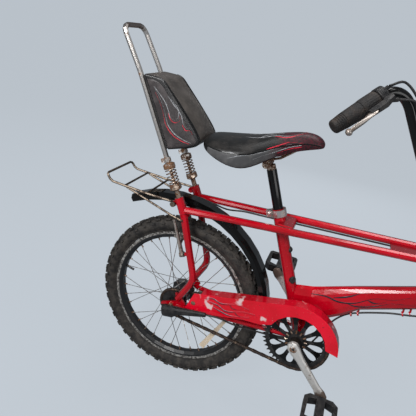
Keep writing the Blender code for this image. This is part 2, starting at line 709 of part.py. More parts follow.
def sissy_bar():
    """A tall hoop with an upper spring collar and a clamp ear on each leg."""
    start = UPPER_COLLAR - COLLAR_HALF + 4.0
    leg = [on_sissy(start, y=-LEG_Y), on_sissy(352.0, y=-LEG_Y), on_sissy(464.0, -6.0, -LEG_Y),
           on_sissy(476.0, -6.0, -LEG_Y + 2.0)]
    top_corner = on_sissy(482.0, -9.0, -LEG_Y + 2.0)
    path = [leg[0], leg[1], top_corner, both_sides(top_corner, -1), both_sides(leg[1], -1),
            both_sides(leg[0], -1)]
    hoop = as_mesh(curve("sissy_bar", rounded(path, [300.0, 26.0, 26.0, 300.0]), SISSY_RADIUS, CHROME,
                         resolution=2))
    low, high = UPPER_COLLAR - COLLAR_HALF, UPPER_COLLAR + COLLAR_HALF
    for s in (-1, 1):
        foot = on_sissy(0.0, y=s * LEG_Y)
        fuse(hoop, lathe("upper_collar", [(low, 0.0), (low, 15.0), (low + 1.5, 16.5), (high - 1.5, 16.5),
                                          (high + 3.0, 9.0), (high + 3.0, 0.0)], 10, STEEL,
                         at=foot, along=SISSY_UP, closed=False))
        ear = box("clamp_ear", (-5.0, -4.0, -6.0), (12.0, 4.0, 6.0))
        ear.data.transform(Matrix.Translation(on_sissy(high + 11.0, -12.0, s * LEG_Y) * MM)
                           @ SISSY_UP.to_track_quat("Z", "X").to_matrix().to_4x4())
        fuse(hoop, ear)
        fuse(hoop,
             rod("ear_ring", foot + SISSY_UP * (high + 5.0), foot + SISSY_UP * (high + 17.0), 10.0, sides=10))
    for s in (-1, 1):
        cut(hoop,
            rod("guide_bore", on_sissy(low - 5.0, y=s * LEG_Y), on_sissy(UPPER_COLLAR + 40.0, y=s * LEG_Y),
                      around(4.6, 8), sides=8))
    return hinge_at(hoop, on_sissy(0.0))


def backrest():
    """The padded backrest and the board that carries it in front of the sissy bar."""
    front = [(3.0, 764.0), (-36.0, 805.0), (-78.0, 848.0), (-112.0, 882.0)]
    rear_low, rear_high = on_sissy(PAD_LOW, 11.6), on_sissy(PAD_HIGH, 11.6)
    bottom = [(rear_low.x + 3, rear_low.z - 1), (-38.0, 727.0), (-3.0, 742.0)]
    top = [(-128.0, 893.0), (-152.0, 897.0), (rear_high.x, rear_high.z)]
    ring = bottom + front + top
    rear_middle = on_sissy(250.0, 11.6)
    ring.append((rear_middle.x, rear_middle.z))
    centre = Vector((-75.0, 815.0))
    rows = []
    for y, scale, crown in ((-67.0, 0.92, 0.0), (-62.0, 1.0, 2.0), (-24.0, 1.0, 11.0), (24.0, 1.0, 11.0),
                            (62.0, 1.0, 2.0), (67.0, 0.92, 0.0)):
        row = []
        for i, (x, z) in enumerate(ring):
            place = centre + (Vector((x, z)) - centre) * scale
            lift = crown if 2 <= i <= 8 else 0.0
            place += Vector((0.72, 0.69)) * lift
            row.append((place.x, y, place.y))
        rows.append(row)
    pad = loft("backrest_pad", rows, VINYL, smooth=1, sharp=60.0)
    keep_off = box("pad_back", (-60.0, -100.0, -300.0), (0.0, 100.0, 300.0))
    leaning = Matrix.Rotation(-math.radians(SISSY_LEAN), 4, "Y")
    keep_off.data.transform(Matrix.Translation(on_sissy(250.0, 11.4) * MM) @ leaning)
    cut(pad, keep_off)
    board = box("backrest_board", (7.6, -62.0, PAD_LOW + 2.0), (11.1, 62.0, PAD_HIGH - 2.0), PLASTIC)
    board.data.transform(Matrix.Translation(on_sissy(0.0) * MM) @ leaning)
    hinge_at(pad, on_sissy(0.0))
    hinge_at(board, on_sissy(0.0))


# Saddle
def saddle():
    """The saddle's section: a crown, two drawn-in wings and a raised middle below."""
    stations = [  # x, half width, crown height, edge height, wing bottom, middle of the underside
        (12.0, 56.0, 774.0, 764.0, 752.0, 760.0), (24.0, 80.0, 778.0, 763.0, 740.0, 760.0),
        (76.0, 101.0, 787.0, 764.0, 724.0, 764.0), (130.0, 99.0, 798.0, 771.0, 718.0, 772.0),
        (170.0, 73.0, 811.0, 785.0, 742.0, 784.0), (216.0, 43.0, 825.0, 801.0, 775.0, 793.0),
        (270.0, 29.0, 838.0, 814.0, 794.0, 805.0), (300.0, 22.0, 828.0, 813.0, 803.0, 806.0),
        (308.0, 12.0, 816.0, 811.0, 806.0, 808.0)]
    rows = []
    for x, w, crown, edge, wing, under in stations:
        half = [(0.0, crown), (0.62 * w, crown - 0.25 * (crown - edge)), (0.96 * w, edge),
                (w, 0.5 * (edge + wing)), (0.92 * w, wing), (0.55 * w, under - 2.0), (0.0, under)]
        ring = [(x, y, z) for y, z in half] + [(x, -y, z) for y, z in half[-2:0:-1]]
        rows.append(ring)
    return hinge_at(loft("saddle", rows, VINYL, smooth=1, sharp=60.0), on_seat(POST_TOP))


def seat_post():
    return hinge_at(rod("seat_post", on_seat(232.0), on_seat(POST_TOP), POST_RADIUS, BLACK, sides=16),
                    on_seat(POST_TOP))


def saddle_rails():
    """The clamp on the post's tip and the two wires that carry the saddle."""
    tip = on_seat(POST_TOP + GAP)
    head = on_seat(POST_TOP + 24.0)
    clamp = rod("saddle_rails", tip, on_seat(POST_TOP + 13.0), 12.5, STEEL)
    cradle = rod("cradle", (head.x - 4.0, -27.0, head.z - 7.0), (head.x - 4.0, 27.0, head.z - 7.0), 11.0,
                 STEEL)
    fuse(clamp, cradle)
    for s in (-1, 1):
        line = [(66.0, s * 26.0, 758.5), (120.0, s * 22.0, 739.0), (196.0, s * 21.0, 745.0),
                (246.0, s * 14.0, 786.2), (262.0, s * 12.0, 795.8)]
        wire = as_mesh(curve("wire", rounded(line, [60.0, 60.0, 40.0], 45.0), 3.5, STEEL, resolution=1))
        fuse(clamp, wire)
    return hinge_at(clamp, on_seat(POST_TOP))


# Front end, drawn straight ahead
def fork():
    """Steerer, crown and two raked legs with slotted ends."""
    steerer = rod("fork", on_steer(CROWN_AT - 6.0), on_steer(STEM_AT + 14.0), 14.3, BLACK, STRAIGHT, 12)
    crown = rod("crown", on_steer(CROWN_AT, 0.0, -58.0), on_steer(CROWN_AT, 0.0, 58.0), 14.5, BLACK, STRAIGHT,
                10)
    seat = rod("crown_race", on_steer(CROWN_AT), on_steer(HEAD_LOW - 12.0 - GAP), 19.0, BLACK, STRAIGHT, 10)
    fuse(steerer, crown, seat)
    axle = FRONT_AXLE
    for s in (-1, 1):
        top = on_steer(CROWN_AT + 3.0, 0.0, s * 48.0)
        bottom = Vector((axle.x, s * 54.5, axle.z)) + (top - axle).normalized() * 26.0
        leg = rod("leg", top, bottom, 12.5, BLACK, STRAIGHT, 8, 8.0)
        fuse(steerer, leg)
        down = (Vector((axle.x, 0, axle.z)) - Vector((top.x, 0, top.z))).normalized()
        ahead = Vector((-down.z, 0.0, down.x))
        loop = []
        for a, b in ((-36.0, -6.5), (0.0, -11.0), (12.0, -9.0), (12.0, -5.3), (-3.0, -5.3), (-3.0, 5.3),
                     (12.0, 5.3), (12.0, 9.0), (0.0, 11.0), (-36.0, 6.5)):
            place = axle + down * a + ahead * b
            loop.append((place.x, place.z))
        low, high = sorted((s * 50.4, s * 55.6))
        tip = plate_xz("tip", [loop], low, high, BLACK, STRAIGHT)
        fuse(steerer, tip)
        pivot = front_pivot(s)
        root = pivot - front_brake_axis() * 17.0
        fuse(steerer, rod("boss", root, pivot - front_brake_axis() * 4.2, 6.0, BLACK, STRAIGHT, 8))
    near, far = axle + Vector((0.0, -80.0, 0.0)), axle + Vector((0.0, 80.0, 0.0))
    cut(steerer, rod("axle_bore", near, far, 5.0 + GAP, BLACK, STRAIGHT))
    return hinge_at(steerer, STEER_PIVOT)


def front_leg_line():
    """From the front axle up along the fork leg, seen from the side."""
    top = on_steer(CROWN_AT + 3.0)
    return (top - FRONT_AXLE).normalized()


def front_brake_axis():
    up = front_leg_line()
    return Vector((up.z, 0.0, -up.x))


def front_pivot(side):
    return FRONT_AXLE + front_leg_line() * 134.0 + front_brake_axis() * 17.0 + Vector((0.0, side * 52.5, 0.0))


def front_axle():
    axle = rod("front_axle", FRONT_AXLE + Vector((0, -66, 0)), FRONT_AXLE + Vector((0, 66, 0)), 5.0, STEEL,
               STRAIGHT, 10)
    for s in (-1, 1):
        inner, outer = Vector((0.0, s * 56.0, 0.0)), Vector((0.0, s * 63.0, 0.0))
        fuse(axle, rod("nut", FRONT_AXLE + inner, FRONT_AXLE + outer, 9.5, STEEL, STRAIGHT, 6))
    return hinge_at(axle, STEER_PIVOT)


def front_mudguard():
    """A short guard over the front tyre, hung from the crown by a bracket."""
    section = [(-25.5, -19.0), (-25.5, -9.0), (-15.0, -1.4), (15.0, -1.4), (25.5, -9.0), (25.5, -19.0)]
    inner = [(y * 0.93, r - 1.6) for y, r in section]
    inner[0] = (-23.7, -19.0)
    inner[-1] = (23.7, -19.0)
    ring = section + inner[::-1]
    rings = []
    radius = FRONT_RADIUS + 17.0
    steps = 8
    for i in range(steps + 1):
        a = math.radians(72.0 + 96.0 * i / steps)
        rings.append([(FRONT_AXLE.x + math.cos(a) * (radius + r), y,
                       FRONT_AXLE.z + math.sin(a) * (radius + r))
                      for y, r in ring])
    guard = loft("front_mudguard", rings, BLACK, STRAIGHT, sharp=50.0)
    up = (on_steer(CROWN_AT) - FRONT_AXLE).normalized()
    crown_face = on_steer(CROWN_AT) - up * (14.5 + 2 * GAP)
    hanger = rod("hanger", FRONT_AXLE + up * (radius - 3.0), crown_face, 5.0, BLACK, STRAIGHT, 8)
    fuse(guard, hanger)
    return hinge_at(guard, STEER_PIVOT)


def stem():
    """A clamp on the steerer with a short reach to the bar clamp."""
    body = rod("stem", on_steer(HEAD_HIGH + 12.0 + GAP), on_steer(STEM_AT + 16.0), 19.0, BLACK, STRAIGHT, 10)
    bar = on_steer(STEM_AT, STEM_REACH)
    clamp = rod("bar_clamp", bar + Vector((0, -22, 0)), bar + Vector((0, 22, 0)), 17.5, BLACK, STRAIGHT, 10)
    reach = rod("reach", on_steer(STEM_AT - 3.0), bar, 14.0, BLACK, STRAIGHT, 10)
    fuse(body, reach, clamp)
    bore = rod("steerer_bore", on_steer(HEAD_HIGH), on_steer(STEM_AT + 14.0 + GAP), around(14.3, 10), BLACK,
               STRAIGHT, 10)
    hole = rod("bar_bore", bar + Vector((0, -40, 0)), bar + Vector((0, 40, 0)), around(BAR_RADIUS, 10), BLACK,
               STRAIGHT, 10)
    cut(body, bore, hole)
    return hinge_at(body, STEER_PIVOT)


def grip_direction(side):
    inner, outer = Vector(both_sides(GRIP_INNER, side)), Vector(both_sides(GRIP_OUTER, side))
    return (outer - inner).normalized()


def lever_side(side):
    """The direction from the grip to its brake lever: ahead, square to the grip."""
    along = grip_direction(side)
    mixed = Vector((0.913, 0.0, 0.407))
    return (mixed - along * mixed.dot(along)).normalized()


def square(side):
    """The direction square to both the grip and the way to the lever: ahead, outward and up."""
    return grip_direction(side).cross(lever_side(side)).normalized() * -side


def on_grip(side, inward, drop=0.0, aside=0.0):
    """A point beside the grip: how far in from its outer end, towards the lever, and square to both."""
    outer = Vector(both_sides(GRIP_OUTER, side))
    return outer - grip_direction(side) * inward + lever_side(side) * drop + square(side) * aside


def handlebar():
    """The high bar: a flat base, two tall sides and grips that turn back."""
    base = on_steer(STEM_AT, STEM_REACH)
    half = [Vector((base.x, 92.0, base.z)), Vector(BAR_FOOT), bar_corner(1), on_grip(1, 3.0)]
    right = [Vector(both_sides(p, -1)) for p in reversed(half)]
    path = rounded(right + half, [BAR_BEND, 80.0, 40.0, 40.0, 80.0, BAR_BEND], 30.0)
    return hinge_at(curve("handlebar", path, BAR_RADIUS, BLACK, STRAIGHT, resolution=3), STEER_PIVOT)


def bar_corner(side):
    """Where the line of the grip meets the tall side of the bar."""
    return on_grip(side, CORNER_AT)


def beside_upright(side, distance, ahead, aside):
    """A point that goes down along the tall side of the bar, in front of it and to its outside."""
    corner, foot = bar_corner(side), Vector(both_sides(BAR_FOOT, side))
    down = (foot - corner).normalized()
    forward = Vector((-down.z, 0.0, down.x)).normalized()
    return corner + down * distance + forward * ahead + Vector((0.0, side * aside, 0.0))


def grip(side, name, length, flange):
    """A sleeve with a closed end, a waist and a flange at its inner end."""
    bore = around(BAR_RADIUS, 10)
    profile = [(-1.0, 0.0), (-1.0, GRIP_RADIUS - 2.5), (2.0, GRIP_RADIUS + 1.0),
               (0.5 * length, GRIP_RADIUS - 0.8),
               (length - 7.0, GRIP_RADIUS), (length - 6.0, GRIP_RADIUS + flange),
               (length, GRIP_RADIUS + flange),
               (length, bore), (3.0 - GAP, bore), (3.0 - GAP, 0.0)]
    inward = -grip_direction(side)
    end = Vector(both_sides(GRIP_OUTER, side))
    return lathe(name, profile, 10, RUBBER, STRAIGHT, end, inward, closed=False)


def twist_shifter():
    """The ribbed collar that turns on the bar to change gear."""
    bore = around(BAR_RADIUS, 10)
    low, high = SHORT_GRIP + 0.6, BRACKET_FROM - 0.6
    profile = [(low, bore), (low, 16.2), (low + 3.0, 16.9), (high - 3.0, 17.3), (high, 16.4), (high, bore)]
    end = Vector(both_sides(GRIP_OUTER, -1))
    return lathe("twist_shifter", profile, 10, PLASTIC, STRAIGHT, end, -grip_direction(-1))


def lever_bracket(side, name):
    """The clamp on the bar, the slotted body that holds the lever, and the cable's barrel adjuster."""
    bore = around(BAR_RADIUS, 10)
    end, inward = Vector(both_sides(GRIP_OUTER, side)), -grip_direction(side)
    profile = [(BRACKET_FROM, 9.0), (BRACKET_FROM, 17.6), (BRACKET_TO, 17.6), (BRACKET_TO, 9.0)]
    ring = lathe(name, profile, 10, PLASTIC, STRAIGHT, end, inward)
    shapes = [(LEVER_AT - 3.0, 29.0, 6.0, 6.5), (BRACKET_FROM - 3.0, 27.6, 6.8, 6.8),
              (BRACKET_FROM + 5.0, 22.0, 7.0, 9.0),
              (BRACKET_TO + 0.9, 20.0, 6.5, 8.0)]
    rings = [oval(on_grip(side, inward_by, drop), square(side) * wide, lever_side(side) * deep, 8, 3.5)
             for inward_by, drop, wide, deep in shapes]
    fuse(ring, loft("bracket_body", rings, PLASTIC, STRAIGHT))
    barrel_from, barrel_to = on_grip(side, BRACKET_TO - 8.0, 20.0, -3.0), on_grip(side, BARREL_END + 5.0,
                                                                                  18.5, -12.5)
    fuse(ring, rod("barrel_adjuster", barrel_from, barrel_to, 4.2, ALLOY, STRAIGHT, 8))
    if side < 0:
        outlet = rod("shifter_outlet", on_grip(side, BRACKET_FROM + 5.0, 6.0, 10.0),
                     on_grip(side, BRACKET_TO + 6.0, 10.0, 15.0), 4.0, PLASTIC, STRAIGHT, 8)
        fuse(ring, outlet)
    way = rod("bar_bore", on_grip(side, BRACKET_FROM - 10.0), on_grip(side, BRACKET_TO + 10.0), bore, BLACK,
              STRAIGHT, 10)
    gate = rod("lever_gate", lever_pivot(side) - square(side) * 3.2, lever_pivot(side) + square(side) * 3.2,
               13.0,
               BLACK, STRAIGHT, 8)
    return cut(ring, way, gate)


def lever_pivot(side):
    return on_grip(side, LEVER_AT, 31.0)


def brake_lever(side, name):
    """A cast blade that thins towards its ball end."""
    way, thick = lever_side(side), square(side)
    stations = [(71.0, 30.5, 2.6, 6.5), (60.0, 31.5, 2.6, 9.0), (49.0, 34.5, 2.6, 7.0),
                (40.0, 37.0, 4.4, 4.4),
                (22.0, 37.5, 5.0, 3.2), (8.0, 40.5, 4.0, 3.2)]
    rings = [oval(on_grip(side, inward, drop), thick * half, way * deep, 8, 2.5)
             for inward, drop, half, deep in stations]
    blade = loft(name, rings, ALLOY, STRAIGHT)
    tip = on_grip(side, 4.0, 41.0)

    def build(work):
        bmesh.ops.create_uvsphere(work, u_segments=7, v_segments=5, radius=6.8 * MM,
                                  matrix=Matrix.Translation(tip * MM))
    fuse(blade, mesh_from("ball_end", build, ALLOY, STRAIGHT))
    return hinge_at(blade, lever_pivot(side))


# Brakes
def brake_arm(name, pivot, up, axis, lean, side, pad_at, wheel_centre, pad_gap, mat, parent=None):
    """A linear-pull arm: a boss on its pivot, a tapered arm and the pad that lies along the rim."""
    arm = rod(name, pivot - axis * 3.8, pivot + axis * 9.0, 8.0, mat, parent, 10)
    top = pivot + up * 104.0 + Vector((0.0, lean, 0.0))
    shapes = [(0.0, 7.5, 5.5), (40.0, 6.0, 4.6), (104.0, 4.5, 3.6)]
    middle = axis * 3.0
    rings = []
    for distance, wide, thick in shapes:
        centre = pivot.lerp(top, distance / 104.0) + middle
        rings.append(oval(centre, Vector((0.0, wide, 0.0)), axis * thick, 8, 3.0))
    fuse(arm, loft("arm_blade", rings, mat, parent))
    pad_centre = Vector(pad_at)
    rim_face = side * (RIM_HALF + pad_gap)
    outward = (pad_centre - Vector(wheel_centre)).normalized()
    along = Vector((-outward.z, 0.0, outward.x))
    rings = []
    for y, half in ((rim_face, 6.0), (rim_face + side * 9.0, 5.0)):
        centre = Vector((pad_centre.x, y, pad_centre.z))
        rings.append(oval(centre, along * 29.0, along.cross(Vector((0, 1, 0))) * half, 6, 4.0))
    pad = loft("pad", rings, mat, parent)
    root = pivot + up * 27.0 + middle
    seat = (pad_centre.x, rim_face + side * 6.0, pad_centre.z)
    post = rod("pad_post", tuple(root), seat, 3.6, mat, parent, 6)
    fuse(arm, post, pad)
    return hinge_at(arm, pivot)


def brakes():
    for side, name in ((-1, "right"), (1, "left")):
        pivot = Vector(both_sides(REAR_PIVOT, side))
        brake_arm("rear_brake_" + name, pivot, REAR_ARM_UP, REAR_ARM_AXIS, -side * 4.0, side,
                  (-12.0, 0.0, REAR_RADIUS + 199.5), (0.0, 0.0, REAR_RADIUS), 4.0, ALLOY)
        pivot = front_pivot(side)
        up = front_leg_line()
        pad = FRONT_AXLE + up * 150.0 + front_brake_axis() * 19.0
        brake_arm("front_brake_" + name, pivot, up, front_brake_axis(), side * 1.0, side, pad, FRONT_AXLE,
                  2.4, ALLOY,
                  STRAIGHT)


# Wheels
def tyre(name, radius, bead, segments, parent, at):
    """A balloon tyre with a flat tread band. It stands on a flat, so the flats lie at full radius."""
    middle = (radius + bead) / 2
    half = [(13.0, bead), (23.0, middle - 5.0), (21.5, middle + 10.0),
            (10.0, radius / math.cos(math.pi / segments))]
    section = half + [(-y, r) for y, r in reversed(half)]
    return lathe(name, section, segments, RUBBER, parent, at, half_step=True)


def rim(name, outer, segments, parent, at):
    """A rim with upright brake tracks and a sloped bed for the spokes."""
    inner = outer - 19.5
    profile = [(RIM_HALF, outer), (RIM_HALF, outer - 12.0), (8.0, inner), (-8.0, inner),
               (-RIM_HALF, outer - 12.0),
               (-RIM_HALF, outer)]
    return lathe(name, profile, segments, BLACK, parent, at, half_step=True)


def hub(name, half, rim_inner, spokes, flange, shell, parent, at, driver):
    """A flanged hub with its crossed spokes, which stop short of the middle of the rim's flats."""
    f = 32.5
    left = [(half, 5.6), (half, 10.0), (f + 8.0, 15.0), (f + 2.3, flange - 6.0), (f + 2.3, flange),
            (f - 2.3, flange), (f - 8.0, shell)]
    right = [(-z, r) for z, r in reversed(left)]
    if driver:
        right[-4:] = [(-(f + 2.3), 15.0), (-(half - 6.0), 15.0), (-(half - 6.0), 10.0), (-half, 10.0),
                      (-half, 5.6)]
    body = lathe(name, left + right, 10, PLASTIC, parent, at)
    reach = rim_inner * math.cos(math.pi / spokes) - 2 * GAP

    def build(work):
        for k in range(spokes):
            side = -1 if k % 2 == 0 else 1
            lead = 1 if (k // 2) % 2 == 0 else -1
            end = math.tau * k / spokes
            start = end - lead * math.radians(60.0)
            r = flange - 4.0
            place = Vector((r * math.cos(start), side * f + lead * 1.3, r * math.sin(start)))
            tip = Vector((reach * math.cos(end), side * 3.0 + lead * 1.3, reach * math.sin(end)))
            bmesh.ops.create_cone(work, cap_ends=True, segments=3, radius1=1.2 * MM, radius2=1.2 * MM,
                                  depth=(tip - place).length * MM, matrix=aim(place, tip))
    wires = mesh_from(name + "_spokes", build, CHROME, parent, at)
    return fuse(body, wires)


def spoke_reflector(centre):
    """A wedge of clear plastic clipped between the spokes."""
    low, high = Vector((104.0, 127.0)), Vector((160.0, 243.0))
    wide, narrow = 8.5, 4.5
    along = (high - low).normalized()
    across = Vector((-along.y, along.x))
    loop = [low - across * wide, low + across * wide, high + across * narrow, high - across * narrow]
    wedge = plate_xz("spoke_reflector", [[tuple(corner) for corner in loop]], -27.0, -21.5, AMBER)
    hinge_at(wedge, centre)


def rear_wheel():
    centre = (0.0, 0.0, REAR_RADIUS)
    tyre("rear_tyre", REAR_RADIUS, REAR_RIM_RADIUS + 0.6, REAR_SPOKES, None, centre)
    rim("rear_rim", REAR_RIM_RADIUS, REAR_SPOKES, None, centre)
    hub("rear_hub", 58.4, REAR_RIM_RADIUS - 19.5, REAR_SPOKES, 37.0, 29.0, None, centre, True)
    spoke_reflector(centre)
    hinge_at(sprocket_plate("sprocket", COG_TEETH, around(15.0, 12), [], REAR_AXLE, COG_PHASE), centre)


def front_wheel():
    centre = tuple(FRONT_AXLE)
    tyre("front_tyre", FRONT_RADIUS, FRONT_RIM_RADIUS + 0.6, FRONT_SPOKES, STRAIGHT, centre)
    rim("front_rim", FRONT_RIM_RADIUS, FRONT_SPOKES, STRAIGHT, centre)
    hub("front_hub", 49.9, FRONT_RIM_RADIUS - 19.5, FRONT_SPOKES, 27.0, 17.0, STRAIGHT, centre, False)


# Chain drive
def chain_path():
    """Pin places round the two sprockets: up the ring's front, back over the top, round the cog and home."""
    big, small = ring_radius(RING_TEETH), ring_radius(COG_TEETH)
    b, a = Vector(BRACKET), Vector(REAR_AXLE)
    line = (b - a)
    spacing = line.length
    tilt = math.atan2(line.y, line.x)
    lean = math.asin((big - small) / spacing)
    top = tilt + math.pi / 2 + lean
    bottom = tilt - math.pi / 2 - lean
    run = spacing * math.cos(lean)
    arc_big = big * (top - bottom)
    arc_small = small * (math.tau - (top - bottom))
    total = arc_big + arc_small + 2 * run
    places = []
    for i in range(CHAIN_LINKS):
        s = total * i / CHAIN_LINKS
        if s < arc_big:
            angle = bottom + s / big
            places.append(b + Vector((math.cos(angle), math.sin(angle))) * big)
            continue
        s -= arc_big
        if s < run:
            start = b + Vector((math.cos(top), math.sin(top))) * big
            end = a + Vector((math.cos(top), math.sin(top))) * small
            places.append(start.lerp(end, s / run))
            continue
        s -= run
        if s < arc_small:
            angle = top + s / small
            places.append(a + Vector((math.cos(angle), math.sin(angle))) * small)
            continue
        s -= arc_small
        start = a + Vector((math.cos(bottom), math.sin(bottom))) * small
        end = b + Vector((math.cos(bottom), math.sin(bottom))) * big
        places.append(start.lerp(end, s / run))
    return places, bottom, top, arc_big, run


CHAIN_PINS, CHAIN_BOTTOM, CHAIN_TOP, CHAIN_ARC, CHAIN_RUN = chain_path()
RING_PHASE = CHAIN_BOTTOM
first_on_cog = math.ceil((CHAIN_ARC + CHAIN_RUN) / CHAIN_PITCH) * CHAIN_PITCH - (CHAIN_ARC + CHAIN_RUN)
COG_PHASE = CHAIN_TOP + first_on_cog / ring_radius(COG_TEETH)


def tooth_outline(teeth, centre, phase):
    """The edge of a chain wheel: a valley under each pin and a tooth between two pins."""
    out = []
    root, tip = ring_radius(teeth) - 4.5, ring_radius(teeth) + 3.8
    step = math.tau / teeth
    for i in range(teeth):
        a = phase + i * step
        for turn, r in ((-0.20, root), (0.20, root), (0.50, tip)):
            angle = a + turn * step
            out.append((centre[0] + r * math.cos(angle), centre[1] + r * math.sin(angle)))
    return out


def sprocket_plate(name, teeth, bore, windows, centre, phase, half=1.2, mat=PLASTIC):
    hole = arc(centre, bore, 0.0, 330.0, 11)
    return plate_xz(name, [tooth_outline(teeth, centre, phase), hole] + windows, CHAIN_Y - half,
                    CHAIN_Y + half, mat)


def chainring():
    """Forty-four teeth, twelve flared spokes and the openings between them."""
    windows = []
    spokes = 12
    for k in range(spokes):
        a = math.radians(CRANK_DEGREES) + math.tau * (k + 0.5) / spokes
        pitch = math.tau / spokes
        shape = []
        for r, share in ((30.0, -0.2), (75.0, -0.35), (75.0, 0.35), (30.0, 0.2)):
            angle = a + share * pitch
            shape.append((BRACKET[0] + r * math.cos(angle), BRACKET[1] + r * math.sin(angle)))
        windows.append(shape)
    ring = sprocket_plate("chainring", RING_TEETH, 16.0, windows, BRACKET, RING_PHASE, 1.3)
    boss = lathe("ring_boss", [(-49.0, 9.3), (-49.0, 23.0), (-42.0, 23.0), (-42.0, 9.3)], 12, PLASTIC,
                 at=(BRACKET[0], 0.0, BRACKET[1]))
    fuse(ring, boss)
    return hinge_at(ring, (BRACKET[0], 0.0, BRACKET[1]))


def chain():
    """Ninety links: ridged side plates that step in and out by turns, held apart by a roller at each pin."""
    pins = CHAIN_PINS
    count = len(pins)
    half_roller, half_height = 2.2, 4.1

    def build(work):
        strips = {}
        for side in (-1, 1):
            rings = []
            for i, pin in enumerate(pins):
                for way in (-1, 1):
                    ahead = (pins[(i + way) % count] - pin).normalized()
                    place = pin + ahead * half_roller
                    outer_link = (i if way == 1 else i - 1) % 2 == 0
                    inner_y, outer_y = (2.9, 4.8) if outer_link else (1.9, 3.8)
                    before, after = pins[i - 1], pins[(i + 1) % count]
                    along = (after - before).normalized()
                    up = Vector((-along.y, along.x))
                    low, high = place - up * half_height, place + up * half_height
                    corners = [(low.x, inner_y, low.y), (place.x, outer_y, place.y),
                               (high.x, inner_y, high.y)]
                    rings.append([work.verts.new(mm(x, CHAIN_Y + side * y, z)) for x, y, z in corners])
            strips[side] = rings
            total = len(rings)
            for i in range(total):
                low, high = rings[i], rings[(i + 1) % total]
                for j in range(3):
                    if j == 2 and i % 2 == 0:
                        continue
                    work.faces.new((low[j], low[(j + 1) % 3], high[(j + 1) % 3], high[j]))
        for i in range(0, 2 * count, 2):
            left, right = strips[1], strips[-1]
            a = [left[i][2], left[i][0], left[i + 1][0], left[i + 1][2]]
            b = [right[i][2], right[i][0], right[i + 1][0], right[i + 1][2]]
            for j in range(4):
                work.faces.new((a[j], a[(j + 1) % 4], b[(j + 1) % 4], b[j]))
    return mesh_from("chain", build, STEEL, sharp=30.0)


# Cranks and pedals
def crank_way():
    a = math.radians(CRANK_DEGREES)
    return Vector((math.cos(a), 0.0, math.sin(a)))


def crank(side, name):
    """A forged arm with a round boss at the axle and the pedal's spindle at its end."""
    centre = Vector((BRACKET[0], 0.0, BRACKET[1]))
    way = crank_way() * (1.0 if side < 0 else -1.0)
    across = Vector((-way.z, 0.0, way.x))
    y = side * CRANK_Y
    shapes = [(-17.0, 8.0, 5.0), (-8.0, 16.0, 7.5), (12.0, 15.5, 7.5), (36.0, 11.5, 7.0), (124.0, 10.5, 6.0),
              (144.0, 14.0, 6.0), (CRANK_LENGTH + 7.0, 12.0, 6.0), (CRANK_LENGTH + 13.0, 6.0, 5.0)]
    rings = [oval(centre + way * d + Vector((0.0, y, 0.0)), across * wide, Vector((0.0, thick, 0.0)), 8, 3.2)
             for d, wide, thick in shapes]
    arm = loft(name, rings, ALLOY)
    boss_end = -49.3 if side < 0 else 38.0
    boss = rod("boss", centre + Vector((0.0, boss_end, 0.0)), centre + Vector((0.0, y, 0.0)), 15.0, ALLOY)
    end = centre + way * CRANK_LENGTH
    spindle = rod("spindle", end + Vector((0.0, y, 0.0)), end + Vector((0.0, side * 180.0, 0.0)), 5.5, STEEL,
                  sides=10)
    fuse(arm, boss, spindle)
    if side > 0:
        axle = rod("axle", centre + Vector((0.0, -72.0, 0.0)), centre + Vector((0.0, 60.0, 0.0)), 8.4, STEEL)
        fuse(arm, axle)
        return hinge_at(arm, centre)
    bore = rod("axle_bore", centre + Vector((0.0, -72.0 - GAP, 0.0)), centre + Vector((0.0, -30.0, 0.0)),
               around(8.4, 12))
    cut(arm, bore)
    return hinge_at(arm, centre)


def pedal_centre(side):
    centre = Vector((BRACKET[0], 0.0, BRACKET[1]))
    way = crank_way() * (1.0 if side < 0 else -1.0)
    return centre + way * CRANK_LENGTH


def pedal(side, name):
    """A cage pedal: a frame with two windows round a barrel that turns on the spindle."""
    place = pedal_centre(side)
    inner, outer = 93.0, 188.0

    def mirrored(points):
        return [(x, side * y) for x, y in points]
    frame = [(-30.0, inner), (30.0, inner), (44.0, inner + 14.0), (44.0, outer - 10.0), (38.0, outer),
             (-38.0, outer),
             (-44.0, outer - 10.0), (-44.0, inner + 14.0)]
    front = [(11.0, inner + 11.0), (33.0, inner + 19.0), (35.0, outer - 15.0), (11.0, outer - 12.0)]
    rear = [(-x, y) for x, y in front]
    cage = as_mesh(outline(name, [mirrored(frame), mirrored(front), mirrored(rear)], 20.0, PLASTIC))
    cage.data.transform(Matrix.Translation(place * MM))
    barrel = rod("barrel", place + Vector((0, side * (inner - 3.0), 0)),
                 place + Vector((0, side * (outer + 1.5), 0)), 9.4,
                 PLASTIC, sides=10)
    fuse(cage, barrel)
    bore = rod("spindle_bore", place + Vector((0, side * 80.0, 0)), place + Vector((0, side * 181.0, 0)),
               5.5 + GAP,
               PLASTIC, sides=10)
    cut(cage, bore)
    return hinge_at(cage, place)


# Kickstand
def kickstand():
    """A prop stand folded back under the left chainstay."""
    x, y, z = STAND_PIVOT
    route = [(x, y + 6.0, z), (x - 16.0, y + 10.0, z - 4.0), (190.0, 64.0, 239.0), (62.0, 88.0, 226.0),
             (34.0, 96.0, 221.0)]
    path = rounded(route, [6.0, 100.0, 30.0], 30.0)
    leg = as_mesh(curve("kickstand", path, 6.0, ALLOY, resolution=2))
    hub_piece = rod("stand_hub", (x, y - 7.0, z), (x, y + 9.0, z), 10.0, ALLOY)
    bore = rod("pin_bore", (x, y - 20.0, z), (x, y + 20.0, z), around(4.0, 8), ALLOY, sides=8)
    fuse(leg, hub_piece)
    cut(leg, bore)
    return hinge_at(leg, STAND_PIVOT)


